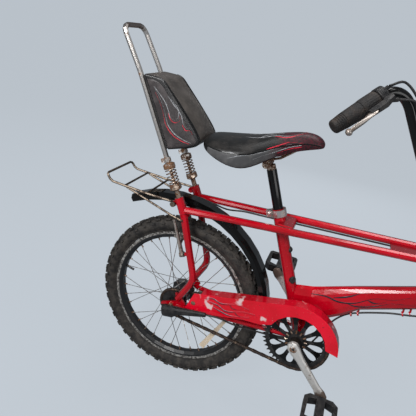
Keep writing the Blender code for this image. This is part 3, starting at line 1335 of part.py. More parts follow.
# Cables, each a smooth run between the points of its route
def smooth_route(points, count):
    """Evenly spread points on a smooth curve through the route's own points."""
    points = [Vector(p) for p in points]
    padded = [points[0] * 2 - points[1]] + points + [points[-1] * 2 - points[-2]]
    dense = []
    for p0, p1, p2, p3 in zip(padded, padded[1:], padded[2:], padded[3:]):
        for i in range(20):
            t = i / 20
            dense.append(0.5 * ((2 * p1) + (p2 - p0) * t + (2 * p0 - 5 * p1 + 4 * p2 - p3) * t * t
                                + (3 * p1 - 3 * p2 + p3 - p0) * t ** 3))
    dense.append(points[-1])
    lengths = [0.0]
    for a, b in zip(dense, dense[1:]):
        lengths.append(lengths[-1] + (b - a).length)
    out = []
    j = 0
    for i in range(count + 1):
        want = lengths[-1] * i / count
        while j < len(dense) - 2 and lengths[j + 1] < want:
            j += 1
        span = max(lengths[j + 1] - lengths[j], 1e-9)
        out.append(dense[j].lerp(dense[j + 1], (want - lengths[j]) / span))
    print("cable length, mm:", round(lengths[-1]))
    return out


def turned(point):
    """Where a point drawn on the straight front end stands once the bar is turned."""
    return STEER_PIVOT + STEER_TURN @ (Vector(point) - STEER_PIVOT)


def cable(name, route, count, bar_count=0):
    """A cable along its route. The first stretch of one that crosses the steering rides on the bar."""
    points = smooth_route(route, count)
    if not bar_count:
        return curve(name, points, CABLE_RADIUS, RUBBER, STRAIGHT, resolution=1)
    parting = points[bar_count]
    curve(name + "_on_bar", points[:bar_count + 1], CABLE_RADIUS, RUBBER, resolution=1)
    onward = (points[bar_count + 1] - parting).normalized()
    return curve(name, [parting + onward] + points[bar_count + 1:], CABLE_RADIUS, RUBBER, resolution=1)


def cables():
    """Each cable's route, from its lever or shifter to what it pulls."""
    front = [on_grip(-1, BARREL_END + 8.0, 18.4, -13.4), on_grip(-1, 143.0, 18.4, -13.4),
             beside_upright(-1, 30.0, 15.0, 12.0), beside_upright(-1, 80.0, 13.5, 8.0),
             beside_upright(-1, 160.0, 14.5, 5.0),
             beside_upright(-1, 240.0, 20.0, 0.0), (700.0, -190.0, 768.0),
             (752.0, -110.0, 716.0), (790.0, -48.0, 645.0), (816.0, -8.0, 566.0), (838.0, 24.0, 492.0),
             front_pivot(1) + front_leg_line() * 110.0 + front_brake_axis() * 9.0 + Vector((0.0, -8.0, 12.0))]
    cable("front_brake_cable", front, 18)
    under = 14.5
    rear = [turned(on_grip(1, BARREL_END + 8.0, 18.4, -13.4)), turned(on_grip(1, 143.0, 18.4, -13.4)),
            turned(beside_upright(1, 66.0, 16.0, 5.0)), turned(beside_upright(1, 160.0, 15.0, 4.0)),
            turned(beside_upright(1, 240.0, 22.0, 0.0)), (772.0, 190.0, 778.0), (784.0, 120.0, 726.0),
            (764.0, 78.0, 664.0), (720.0, 60.0, 622.0), (676.0, 52.0, 603.0), (640.0, 44.0, 592.0),
            *(rail_point(x) - Vector((0.0, 0.0, under)) for x in (590.0, 500.0, 400.0, 300.0, 200.0, 120.0)),
            (64.0, 46.0, 548.0), (18.0, 42.0, 562.0), (-18.0, 39.0, 562.0),
            (-46.0, 39.0, 551.0), (-56.0, 42.0, 537.0)]
    cable("rear_brake_cable", rear, 28, 5)
    gear = [turned(on_grip(-1, BRACKET_TO + 8.0, 10.6, 15.6)), turned(on_grip(-1, 142.0, 10.0, 12.0)),
            turned(on_grip(-1, CORNER_AT, 7.0, -3.6)), turned(beside_upright(-1, 40.0, 14.5, -7.0)),
            turned(beside_upright(-1, 100.0, 13.5, -8.0)), turned(beside_upright(-1, 200.0, 15.0, -8.0)),
            (640.0, -116.0, 744.0), (664.0, -84.0, 694.0), (690.0, -60.0, 630.0), (700.0, -46.0, 570.0),
            (694.0, -36.0, 510.0), (650.0, -12.0, 450.0), (560.0, 0.0, 416.0), (470.0, 0.0, 374.0),
            (434.0, -5.0, 322.0), (408.0, -16.0, 270.0),
            (380.0, -26.0, 243.0), (340.0, -31.0, 243.0), (300.0, -33.0, 252.0), (262.0, -36.0, 253.0),
            (225.0, -49.0, 258.0), (186.0, -68.0, 270.0), (150.0, -80.0, 282.0), (114.5, -83.5, 279.8)]
    cable("gear_cable", gear, 38, 7)


head_tube()
main_tube()
seat_tube()
rail(-1, "right_rail")
rail(1, "left_rail")
rear_leg(-1, "right_rear_leg")
rear_leg(1, "left_rear_leg")
stay_bridge()
seat_clamp()
rear_mudguard()
rack()
chain_guard()
rear_axle()
shift_box()
guide_rod(-1, "right_guide_rod")
guide_rod(1, "left_guide_rod")
coil_spring(-1, "right_spring")
coil_spring(1, "left_spring")
sissy_bar()
backrest()
saddle()
seat_post()
saddle_rails()
fork()
front_axle()
front_mudguard()
stem()
handlebar()
grip(-1, "right_grip", SHORT_GRIP, 0.4)
grip(1, "left_grip", BRACKET_FROM - 0.6, 1.2)
twist_shifter()
lever_bracket(-1, "right_lever_bracket")
lever_bracket(1, "left_lever_bracket")
brake_lever(-1, "right_brake_lever")
brake_lever(1, "left_brake_lever")
brakes()
rear_wheel()
front_wheel()
chainring()
chain()
crank(-1, "right_crank")
crank(1, "left_crank")
pedal(-1, "right_pedal")
pedal(1, "left_pedal")
kickstand()
cables()
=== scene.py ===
"""The looks of the chopper bicycle: materials, tyres, padding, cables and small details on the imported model.

Places are in metres in the CAD frame: +X forward, +Y to the rider's left, +Z up, with the origin where the
rear tyre meets the ground. Values in millimetres are turned into metres by MM or mm().
"""
import json
from collections import namedtuple
from math import asin, cos, pi, radians, sin, sqrt, tau

import bmesh
import bpy
from mathutils import Matrix, Vector
from mathutils.bvhtree import BVHTree

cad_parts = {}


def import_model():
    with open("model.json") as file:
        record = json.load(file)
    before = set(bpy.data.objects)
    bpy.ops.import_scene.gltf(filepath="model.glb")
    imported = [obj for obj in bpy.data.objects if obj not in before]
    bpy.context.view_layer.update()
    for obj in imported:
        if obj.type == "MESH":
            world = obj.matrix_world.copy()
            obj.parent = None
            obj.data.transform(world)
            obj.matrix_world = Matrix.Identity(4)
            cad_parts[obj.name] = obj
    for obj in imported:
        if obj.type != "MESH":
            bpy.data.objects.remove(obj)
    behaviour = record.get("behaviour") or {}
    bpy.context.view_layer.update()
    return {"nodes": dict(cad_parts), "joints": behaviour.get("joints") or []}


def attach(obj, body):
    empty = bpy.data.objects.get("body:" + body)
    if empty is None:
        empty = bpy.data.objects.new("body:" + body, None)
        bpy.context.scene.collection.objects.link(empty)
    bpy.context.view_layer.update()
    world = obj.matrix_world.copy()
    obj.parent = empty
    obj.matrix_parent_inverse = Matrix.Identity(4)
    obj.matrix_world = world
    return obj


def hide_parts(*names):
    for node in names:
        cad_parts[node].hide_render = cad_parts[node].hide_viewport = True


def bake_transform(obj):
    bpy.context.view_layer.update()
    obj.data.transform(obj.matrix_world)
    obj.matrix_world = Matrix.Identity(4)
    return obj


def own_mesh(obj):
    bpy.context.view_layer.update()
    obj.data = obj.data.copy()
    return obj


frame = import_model()
NODES = frame["nodes"]
JOINTS = {joint["name"]: joint for joint in frame["joints"]}

MM = 0.001
SIDES = ((-1, "right"), (1, "left"))

# Wheels
Wheel = namedtuple("Wheel", "name centre axis radius bead rim flange nipples spokes knobs")
WHEELS = (
    Wheel("rear", Vector(JOINTS["rear_wheel_spin"]["pos_m"]), Vector((0, 1, 0)),
          0.255, 0.2104, 0.2098, 0.037, 0.1903, 36, 46),
    Wheel("front", Vector(JOINTS["front_wheel_spin"]["pos_m"]), Vector(JOINTS["front_wheel_spin"]["axis"]),
          0.203, 0.1594, 0.1588, 0.027, 0.1393, 28, 37))
TYRE_HALF = 0.023
BEAD_HALF = 0.0128
BRACKET = Vector(JOINTS["crank_spin"]["pos_m"])

# Sissy bar and backrest
SISSY_UP = Vector(JOINTS["sissy_slide"]["axis"])
SISSY_FRONT = Vector((SISSY_UP.z, 0, -SISSY_UP.x))
SOCKET_TOP = Vector((-0.031, 0, 0.588))
LEG_Y = 0.06

# Camera, fitted to the rear rim, sissy bar, rack, top rails, seat tube and crank set in the photograph
CAMERA_PLACE = Vector((0.3635, -1.1532, 1.0648))
CAMERA_RIGHT = Vector((0.9285, 0.3299, 0.1701))
CAMERA_UP = Vector((-0.2525, 0.2253, 0.941))
FOCAL_PIXELS = 456.17
PRINCIPAL = (210.61, 159.94)
PICTURE = 416
SENSOR = 36


def mm(*values):
    return Vector(values) * MM


def turns(count):
    """Angles that share out a full turn."""
    return [tau * k / count for k in range(count)]


def polar(radius, y, angle):
    """A point at a radius and an angle about the +Y axis."""
    return Vector((radius * cos(angle), y, radius * sin(angle)))


# Materials
class Shader:
    """A Principled material with short calls for the nodes that vary it."""

    def __init__(self, name, colour, roughness, metallic=0, coat=0):
        self.material = bpy.data.materials.new("scene_" + name)
        self.material.use_nodes = True
        self.tree = self.material.node_tree
        self.out = self.tree.nodes["Principled BSDF"]
        self.set("Base Color", (*colour, 1))
        self.set("Roughness", roughness)
        self.set("Metallic", metallic)
        self.set("Coat Weight", coat)
        self.set("Coat Roughness", 0.06)
        self.coordinates = self.node("TexCoord", {}, "Object")

    def set(self, socket, value):
        self.out.inputs[socket].default_value = value

    def join(self, output, socket):
        self.tree.links.new(output, self.out.inputs[socket])

    def finish(self, colour, roughness=None, metallic=None):
        """Joins the sockets that vary, and returns the material."""
        for output, socket in ((colour, "Base Color"), (roughness, "Roughness"), (metallic, "Metallic")):
            if output is not None:
                self.join(output, socket)
        return self.material

    def node(self, kind, inputs, output=0, **settings):
        """Adds a node, gives its inputs other nodes' outputs or plain values, and returns one output."""
        made = self.tree.nodes.new("ShaderNode" + kind)
        for name, value in settings.items():
            setattr(made, name, value)
        for key, value in inputs.items():
            if isinstance(value, bpy.types.NodeSocket):
                self.tree.links.new(value, made.inputs[key])
            else:
                made.inputs[key].default_value = value
        return made.outputs[output]

    def from_centre(self, centre):
        """Coordinates counted from a centre."""
        return self.node("VectorMath", {0: self.coordinates, 1: centre}, operation="SUBTRACT")

    def noise(self, scale, detail=3, roughness=0.5, centre=None):
        place = self.from_centre(centre) if centre else self.coordinates
        inputs = {"Scale": scale, "Detail": detail, "Roughness": roughness, "Vector": place}
        return self.node("TexNoise", inputs, "Fac")

    def cells(self, scale):
        return self.node("TexVoronoi", {"Scale": scale, "Vector": self.coordinates}, "Distance")

    def steps(self, value, low, high, start=0, end=1):
        """Maps a value from low..high to start..end, with its ends held."""
        inputs = {"Value": value, "From Min": low, "From Max": high, "To Min": start, "To Max": end}
        return self.node("MapRange", inputs, "Result", interpolation_type="SMOOTHSTEP")

    def patches(self, low, high, *noise):
        """One where a noise lies over high, nought where it lies under low."""
        return self.steps(self.noise(*noise), low, high)

    def math(self, operation, *values):
        return self.node("Math", dict(enumerate(values)), operation=operation)

    def mixed(self, factor, a, b):
        """A colour between two, each a socket or a plain colour."""
        a, b = ((*colour, 1) if isinstance(colour, tuple) else colour for colour in (a, b))
        return self.node("Mix", {0: factor, 6: a, 7: b}, 2, data_type="RGBA")

    def number(self, factor, a, b):
        return self.node("Mix", {0: factor, 2: a, 3: b})

    def bump(self, height, strength, distance):
        inputs = {"Strength": strength, "Distance": distance, "Height": height}
        self.join(self.node("Bump", inputs, "Normal"), "Normal")

    def facing(self, low, high):
        """Nought where the surface faces the view and one at its edges, as a step from low to high."""
        return self.steps(self.node("LayerWeight", {"Blend": 0.5}, "Facing"), low, high)

    def axis(self, name):
        return self.node("SeparateXYZ", {0: self.coordinates}, name)

    def radius(self, centre, axis):
        """The distance from an axle's line, and the distance along that line from the centre."""
        place = self.from_centre(centre)
        along = self.node("VectorMath", {0: place, 1: axis}, "Value", operation="DOT_PRODUCT")
        whole = self.node("VectorMath", {0: place}, "Value", operation="LENGTH")
        left = self.math("SUBTRACT", self.math("MULTIPLY", whole, whole), self.math("MULTIPLY", along, along))
        return self.math("SQRT", self.math("MAXIMUM", left, 0)), self.math("ABSOLUTE", along)


def red_enamel(name="red_enamel", lit_and_scuffed=False):
    """Bright red paint with small chips and painted shade where it turns away from the view, and on the chain
    guard a brighter base, which is painted light, with pale scuffs too.
    """
    paint = Shader(name, (0.6, 0.003, 0.012), 0.2, coat=0.7)
    paint.set("Specular IOR Level", 0.3)
    paint.set("Coat Roughness", 0.1)
    dark, bright = (0.4, 0, 0.006), (0.58, 0.001, 0.013)
    # Painted light: on the chain guard the same red is made brighter, as where more light falls on it.
    if lit_and_scuffed:
        dark, bright = (0.7, 0.002, 0.014), (0.95, 0.004, 0.03)
    base = paint.mixed(paint.patches(0.3, 0.7, 9, 2), dark, bright)
    # Painted shade: the red darkens towards the edges that turn away from the view.
    base = paint.mixed(paint.facing(0.25, 0.85), base, (0.1, 0, 0.002))
    base = paint.mixed(paint.patches(0.705, 0.72, 210, 4, 0.65), base, (0.06, 0.035, 0.03))
    base = paint.mixed(paint.patches(0.735, 0.75, 330, 2, 0.6, (3, 1, 2)), base, (0.55, 0.36, 0.33))
    if lit_and_scuffed:
        pale = paint.patches(0.62, 0.69, 19, 3, 0.55, (0.35, 0, 0.12))
        grime = paint.patches(0.62, 0.72, 75, 5, 0.7, (1.3, 0.4, 0.9))
        base = paint.mixed(grime, paint.mixed(pale, base, (0.88, 0.62, 0.62)), (0.16, 0.01, 0.015))
    paint.bump(paint.noise(700, 2), 0.06, 0.0004)
    return paint.finish(base, paint.steps(paint.noise(60, 5, 0.6), 0.35, 0.8, 0.14, 0.34))


def black_enamel():
    paint = Shader("black_enamel", (0.006, 0.006, 0.007), 0.12, coat=0.35)
    paint.set("Specular IOR Level", 0.2)
    chips = paint.patches(0.72, 0.735, 190, 4, 0.6)
    paint.bump(paint.noise(600, 2), 0.05, 0.0003)
    return paint.finish(paint.mixed(chips, (0.004, 0.004, 0.004), (0.16, 0.14, 0.12)),
                        paint.steps(paint.noise(45, 5, 0.6), 0.35, 0.85, 0.07, 0.28))


def metal(name, clean, rust, amount, roughness, scale, brown_below=None, rim=(0.42, 0.88)):
    """A bright metal with brown rust spots over a share of it, and all over it below a height, and with
    painted shade towards the edges that turn away from the view.
    """
    paint = Shader(name, clean, roughness, metallic=1)
    fine = paint.noise(scale * 7, 3, 0.6)
    both = paint.math("ADD", paint.math("MULTIPLY", paint.noise(scale, 6, 0.68), 0.72),
                      paint.math("MULTIPLY", fine, 0.28))
    if brown_below:
        low = paint.steps(paint.axis("Z"), brown_below - 0.012, brown_below + 0.004, 0.13, 0)
        both = paint.math("ADD", both, low)
    edge = 0.62 - 0.24 * amount
    cover = paint.steps(both, edge, edge + 0.06)
    # Painted shade and dark reflection: the metal turns darker towards the edges that turn away from the view.
    dark = tuple(0.16 * c * w for c, w in zip(clean, (1.25, 0.9, 0.75)))
    colour = paint.mixed(cover, paint.mixed(paint.facing(*rim), clean, dark), rust)
    paint.bump(fine, 0.08, 0.0004)
    return paint.finish(colour, paint.number(cover, roughness, 0.72), paint.number(cover, 1, 0.12))


def worn(name, base, roughness, patch, dark, bright, grain, depth, ends=None):
    """Plastic or rubber with brighter worn patches and a grain, which is noise or, from one number, cells."""
    paint = Shader(name, base, roughness)
    cloud = paint.patches(*patch)
    paint.bump(paint.noise(*grain) if len(grain) > 1 else paint.cells(*grain), *depth)
    return paint.finish(paint.mixed(cloud, dark, bright), paint.number(cloud, *ends) if ends else None)


def plastic():
    return worn("black_plastic", (0.02, 0.02, 0.021), 0.46, (0.35, 0.75, 70, 5, 0.6),
                (0.009, 0.009, 0.01), (0.034, 0.031, 0.03), (900, 2), (0.12, 0.0003), (0.36, 0.6))


def rim_material(wheel):
    """Black enamel with a brushed silver brake track on each side."""
    black = (0.01, 0.01, 0.011)
    paint = Shader(wheel.name + "_rim", black, 0.3, coat=0.15)
    radius, aside = paint.radius(wheel.centre, wheel.axis)
    track = paint.math("MULTIPLY", paint.steps(aside, 0.0128, 0.0134),
                       paint.steps(radius, wheel.rim - 0.0084, wheel.rim - 0.0072))
    silver = paint.mixed(paint.patches(0.4, 0.6, 160, 5, 0.7), (0.07, 0.06, 0.054), (0.5, 0.48, 0.45))
    return paint.finish(paint.mixed(track, black, silver), paint.number(track, 0.34, 0.4),
                        paint.number(track, 0, 0.45))


def hub_material(wheel):
    """A black hub body whose spokes are dull steel with rust."""
    black = (0.012, 0.012, 0.013)
    paint = Shader(wheel.name + "_hub", black, 0.35)
    radius, _ = paint.radius(wheel.centre, wheel.axis)
    wire = paint.steps(radius, wheel.flange, wheel.flange + 0.001)
    steel = paint.mixed(paint.patches(0.5, 0.62, 90, 5, 0.7), (0.6, 0.59, 0.57), (0.22, 0.13, 0.08))
    dull = paint.steps(paint.noise(60, 4), 0.3, 0.8, 0.28, 0.55)
    return paint.finish(paint.mixed(wire, black, steel), dull, paint.number(wire, 0.1, 0.85))


def crank_material():
    """Bright worn alloy with painted shade towards its edges, which turns brown and dull towards the pedal."""
    paint = Shader("crank", (0.86, 0.84, 0.8), 0.32, metallic=0.7)
    radius, _ = paint.radius(BRACKET, (0, 1, 0))
    ragged = paint.math("ADD", radius, paint.math("MULTIPLY", paint.noise(70, 4), 0.03))
    far = paint.steps(ragged, 0.142, 0.156)
    clean = paint.mixed(paint.patches(0.58, 0.66, 110, 5, 0.7), (0.92, 0.89, 0.85), (0.55, 0.48, 0.42))
    # Painted shade: the alloy darkens towards the edges that turn away from the view.
    clean = paint.mixed(paint.facing(0.5, 0.9), clean, (0.16, 0.12, 0.1))
    clean = paint.mixed(far, clean, (0.14, 0.1, 0.08))
    boss = paint.steps(paint.math("ABSOLUTE", paint.axis("Y")), 0.07, 0.0715, 1, 0)
    paint.bump(paint.noise(300, 4), 0.1, 0.0004)
    return paint.finish(paint.mixed(boss, clean, (0.035, 0.028, 0.024)), paint.number(far, 0.3, 0.6),
                        paint.number(far, 0.62, 0.4))


def reflector_material():
    paint = Shader("reflector", (0.62, 0.5, 0.36), 0.25)
    cells = paint.cells(420)
    paint.bump(cells, 0.5, 0.0008)
    return paint.finish(paint.mixed(paint.steps(cells, 0.1, 0.6), (0.95, 0.88, 0.74), (0.72, 0.58, 0.42)))


MATERIALS = {
    "red": red_enamel(),
    "black": black_enamel(),
    "plastic": plastic(),
    "tyre": worn("tyre", (0.018, 0.017, 0.017), 0.78, (0.36, 0.66, 44, 6, 0.7), (0.011, 0.01, 0.01),
                 (0.058, 0.05, 0.043), (800, 3), (0.25, 0.0004)),
    "grip": worn("grip", (0.02, 0.017, 0.015), 0.7, (0.4, 0.75, 50, 4, 0.6), (0.008, 0.007, 0.007),
                 (0.036, 0.025, 0.019), (300,), (0.55, 0.0012)),
    # The last pair given to metal() is the range of its painted edge shade.
    "chrome": metal("chrome", (0.92, 0.87, 0.82), (0.2, 0.1, 0.05), 0.2, 0.28, 45, 0.702,
                    (0.22, 0.66)),
    "rusty": metal("rusty_steel", (0.62, 0.5, 0.4), (0.14, 0.062, 0.03), 0.66, 0.3, 130),
    "wire": metal("rack_wire", (0.2, 0.16, 0.125), (0.075, 0.048, 0.032), 0.5, 0.5, 30, None,
                  (0.2, 0.7)),
    "silver": metal("silver", (0.94, 0.9, 0.86), (0.34, 0.22, 0.14), 0.2, 0.3, 90),
    "alloy": metal("alloy", (0.46, 0.41, 0.37), (0.15, 0.105, 0.08), 0.42, 0.42, 75),
    "cable": plastic(),
}
NODE_MATERIALS = {  # a star stands for right and for left
    "red": "head_tube main_tube seat_tube *_rail *_rear_leg stay_bridge",
    "black": "rear_mudguard fork front_mudguard stem handlebar seat_post",
    "plastic": "shift_box backrest_board twist_shifter *_lever_bracket chainring sprocket *_pedal",
    "grip": "*_grip",
    "chrome": "sissy_bar",
    "silver": "seat_clamp",
    "wire": "rack",
    "alloy": "*_brake_lever rear_brake_* front_brake_* kickstand",
    "rusty": "rear_axle front_axle *_guide_rod *_spring saddle_rails",
    "cable": "front_brake_cable rear_brake_cable rear_brake_cable_on_bar gear_cable gear_cable_on_bar",
}


def dress(node, material):
    """Gives a CAD node its scene material and smooth shading between its sharp edges."""
    data = NODES[node].data
    for slot in NODES[node].material_slots:
        slot.material = material
    data.shade_smooth()
    data.set_sharp_from_angle(angle=radians(38))


for key, names in NODE_MATERIALS.items():
    for name in names.split():
        for node_name in sorted({name.replace("*", side) for _, side in SIDES}):
            dress(node_name, MATERIALS[key])
for wheel in WHEELS:
    dress(wheel.name + "_rim", rim_material(wheel))
    dress(wheel.name + "_hub", hub_material(wheel))
dress("right_crank", crank_material())
dress("left_crank", crank_material())
dress("chain", metal("chain", (0.13, 0.09, 0.065), (0.026, 0.015, 0.011), 0.8, 0.36, 110))
dress("spoke_reflector", reflector_material())
# The chain guard's red has a brighter base as painted light, with real pale scuffs and grime.
dress("chain_guard", red_enamel("guard_lit_enamel", True))


# Building blocks
def mesh_piece(name, fill, material, body, smooth=38):
    """Makes a piece from a function that fills a bmesh in frame coordinates, and lets it ride on a body."""
    data = bpy.data.meshes.new(name)
    work = bmesh.new()
    fill(work)
    bmesh.ops.recalc_face_normals(work, faces=work.faces)
    work.to_mesh(data)
    work.free()
    data.shade_smooth()
    data.set_sharp_from_angle(angle=radians(smooth))
    data.materials.append(material)
    piece = bpy.data.objects.new(name, data)
    bpy.context.scene.collection.objects.link(piece)
    if body:
        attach(piece, body)
    return piece


def skin(work, rings, closed_ends=True, ring_closed=True, looped=False):
    """Faces between rows of points. Where they are looped, the last row joins the first."""
    rows = [[work.verts.new(point) for point in ring] for ring in rings]
    count = len(rows[0])
    span = count if ring_closed else count - 1
    for low, high in zip(rows, rows[1:] + (rows[:1] if looped else [])):
        for i in range(span):
            work.faces.new((low[i], low[(i + 1) % count], high[(i + 1) % count], high[i]))
    if closed_ends and not looped:
        work.faces.new(rows[0])
        work.faces.new(rows[-1])


def wheel_matrix(wheel):
    """Turns a wheel drawn about +Y at the origin onto its axle."""
    turn = Vector((0, 1, 0)).rotation_difference(wheel.axis).to_matrix().to_4x4()
    return Matrix.Translation(wheel.centre) @ turn


def along_curve(points, per_span=8):
    """Points of a smooth curve through the given ones."""
    points = [Vector(p) for p in points]
    padded = [points[0] * 2 - points[1]] + points + [points[-1] * 2 - points[-2]]
    out = []
    for p0, p1, p2, p3 in zip(padded, padded[1:], padded[2:], padded[3:]):
        for i in range(per_span):
            t = i / per_span
            out.append(0.5 * (2 * p1 + (p2 - p0) * t + (2 * p0 - 5 * p1 + 4 * p2 - p3) * t * t
                              + (3 * p1 - 3 * p2 + p3 - p0) * t ** 3))
    return out + [points[-1]]


def softened(points, steps=5):
    """The same run of straight lengths with each corner rounded between the middles of its neighbours."""
    points = [Vector(p) for p in points]
    out = [points[0]]
    for before, corner, after in zip(points, points[1:], points[2:]):
        reach = min((before - corner).length, (after - corner).length) / 2
        first = corner + (before - corner).normalized() * reach
        last = corner + (after - corner).normalized() * reach
        for i in range(steps + 1):
            t = i / steps
            out.append(first * (1 - t) ** 2 + corner * 2 * t * (1 - t) + last * t * t)
    return out + [points[-1]]


def tube(work, points, radius, sides=12):
    """A closed tube along points."""
    spots = [Vector(p) for p in points]
    spots = [p for i, p in enumerate(spots) if i == 0 or (p - spots[i - 1]).length > 1e-6]
    side = None
    rings = []
    for i, spot in enumerate(spots):
        ahead = (spots[min(i + 1, len(spots) - 1)] - spots[max(i - 1, 0)]).normalized()
        side = ahead.orthogonal() if side is None else side - ahead * side.dot(ahead)
        side.normalize()
        lift = ahead.cross(side)
        rings.append([spot + (side * cos(a) + lift * sin(a)) * radius for a in turns(sides)])
    skin(work, rings)


def turned_rings(origin, axis, profile, sides, ripple=0, ripples=0):
    """Rings about an axis from a profile of distances along it and radii, in millimetres."""
    axis = Vector(axis).normalized()
    side = axis.orthogonal().normalized()
    other = axis.cross(side)
    rings = []
    for along, radius in profile:
        foot = Vector(origin) + axis * along * MM
        ring = []
        for a in turns(sides):
            r = radius * (1 + ripple * cos(ripples * a))
            ring.append(foot + (side * cos(a) + other * sin(a)) * r * MM)
        rings.append(ring)
    return rings


def turning(work, origin, axis, profile, sides=40):
    """A turned form whose first and last rings are closed."""
    skin(work, turned_rings(origin, axis, profile, sides))


def sleeve(work, origin, axis, profile, bore, sides=40, ripple=0, ripples=0):
    """A turned form with a bore right through it, and ripples round its outside."""
    first, last = turned_rings(origin, axis, [(profile[0][0], bore), (profile[-1][0], bore)], sides)
    skin(work, [first] + turned_rings(origin, axis, profile, sides, ripple, ripples) + [last], looped=True)


def piece(name, fill, material, body, slot, nodes=(), smooth=38):
    """A piece in a material or a key of MATERIALS, with the nodes that it replaces. Its slot is not used."""
    material = MATERIALS[material] if isinstance(material, str) else material
    made = mesh_piece(name, fill, material, body, smooth)
    if nodes:
        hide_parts(*nodes)
    return made


def turned_piece(name, origin, axis, profile, sides, material, body, slot):
    """A small turned piece that stands for no node."""
    piece(name, lambda work: turning(work, origin, axis, profile, sides), material, body, slot)


# Tyres
TURN_OVER = radians(142)  # from the crown to each bead
CARCASS_HALF = TYRE_HALF * 0.985
TREAD = (  # middle, height, share of the pitch and half width in millimetres, half length as a share
    (-5.6, 5, 0, 4.4, 0.27), (5.6, 5, 0.5, 4.4, 0.27), (-14.8, 5.6, 0.5, 3.5, 0.24),
    (14.8, 5.6, 0, 3.5, 0.24), (-21.3, 3.4, 0, 3, 0.19), (21.3, 3.4, 0.5, 3, 0.19))


def tyre(wheel):
    """A balloon tyre with staggered tread blocks, drawn about +Y and stood on its axle."""
    crown = wheel.radius - 5 * MM
    middle, half_height = (crown + wheel.bead) / 2, (crown - wheel.bead) / 2
    place = wheel_matrix(wheel)
    around = wheel.knobs * 2

    def section(share):
        """A point of the carcass, from the bead on one side (-1) over the crown (0) to the other (1)."""
        angle = TURN_OVER * share
        return CARCASS_HALF * sin(angle), middle + half_height * cos(angle)

    def fill(work):
        profile = [section(-1 + 2 * k / 14) for k in range(15)]
        profile = [(-BEAD_HALF, wheel.bead)] + profile + [(BEAD_HALF, wheel.bead)]
        angles = turns(around) + [tau]
        skin(work, [[place @ polar(r, y, a) for y, r in profile] for a in angles], closed_ends=False)
        bmesh.ops.remove_doubles(work, verts=work.verts, dist=1e-5)
        for i in range(wheel.knobs):
            for y, reach, share, wide, long in TREAD:
                block(work, place, section, (i + share) / wheel.knobs, y * MM, reach * MM, wide * MM,
                      long / wheel.knobs)
    name = wheel.name + "_tyre"
    piece(name + "_tread", fill, "tyre", wheel.name + "_wheel", "tyre_rubber", [name], smooth=30)


def block(work, place, section, around, y_middle, reach, half_wide, half_long):
    """One tread block that stands out of the carcass, narrower at its top."""
    share = asin(max(-0.999, min(0.999, y_middle / CARCASS_HALF))) / TURN_OVER
    out_y, out_r = sin(share * TURN_OVER), cos(share * TURN_OVER)
    corners = []
    for lift, shrink in ((-1.2 * MM, 1), (reach, 0.82)):
        for sign_long, sign_wide in ((-1, -1), (1, -1), (1, 1), (-1, 1)):
            y, r = section(share + sign_wide * shrink * half_wide / (2.2 * TYRE_HALF))
            angle = tau * (around + sign_long * shrink * half_long)
            corners.append(place @ polar(r + out_r * lift, y + out_y * lift, angle))
    verts = [work.verts.new(c) for c in corners]
    for quad in ((0, 1, 2, 3), (4, 5, 6, 7), (0, 1, 5, 4), (1, 2, 6, 5), (2, 3, 7, 6), (3, 0, 4, 7)):
        work.faces.new([verts[i] for i in quad])


for wheel in WHEELS:
    tyre(wheel)


# Handlebar, grips and controls
STEER_PIVOT = Vector(JOINTS["steering_turn"]["pos_m"])
STEER_UP = Vector(JOINTS["steering_turn"]["axis"])
BAR_PATH = [
    (332.8, -338, 923.2), (401.2, -278.6, 989.9), (417.2, -267.3, 996.9), (435.3, -258.2, 992),
    (449.1, -254.7, 976.9), (560.6, -252.9, 765.3), (585.6, -241.5, 730.2), (612.9, -211.6, 711.5),
    (688.2, -104.1, 687.8), (695.9, -88, 687.2), (740.1, 70.4, 706.9), (741.8, 87.6, 711.6),
    (730.6, 209.8, 763.9), (721.3, 244.3, 790.6), (703.4, 258.5, 828.9), (595.3, 268.9, 1042),
    (584.3, 275.4, 1058.4), (573.1, 291, 1066.3), (565.7, 310.1, 1063.1), (541.6, 409.5, 1016.2)]
BAR_RADIUS = 11.1
GRIPS = {"right": ((331, -339.5, 921.5), (0.6084, 0.5279, 0.5925)),
         "left": ((540.9, 412.1, 1014.9), (0.2143, -0.8833, 0.4171))}
LEVER_WAYS = {"right": (0.6342, -0.7723, 0.0368), "left": (0.9359, 0.3078, 0.1711)}


def handlebar():
    def fill(work):
        tube(work, [mm(*p) for p in softened(BAR_PATH)], BAR_RADIUS * MM, 24)
    piece("handlebar_tube", fill, "black", "steering", "black_enamel", ["handlebar"])


def grip_profile(length):
    """A worn grip: a rounded end, shallow rings near it and a slight waist."""
    profile = [(-1, 6), (-1, 9.8), (-0.4, 11.4), (1.4, 12.7), (4, 13.1)]
    for ring in range(5):
        start = 6 + ring * 4
        wide = 13.3 + ring * 0.4
        profile += [(start, wide), (start + 0.6, wide - 0.9), (start + 1.8, wide - 0.9),
                    (start + 2.4, wide + 0.1)]
    for share in (0.5, 0.65, 0.8):
        profile.append((share * length, 15.2 + 2.2 * (share - 0.5)))
    return profile + [(length - 3.2, 16.2), (length - 0.4, 16.2), (length, 15.8)]


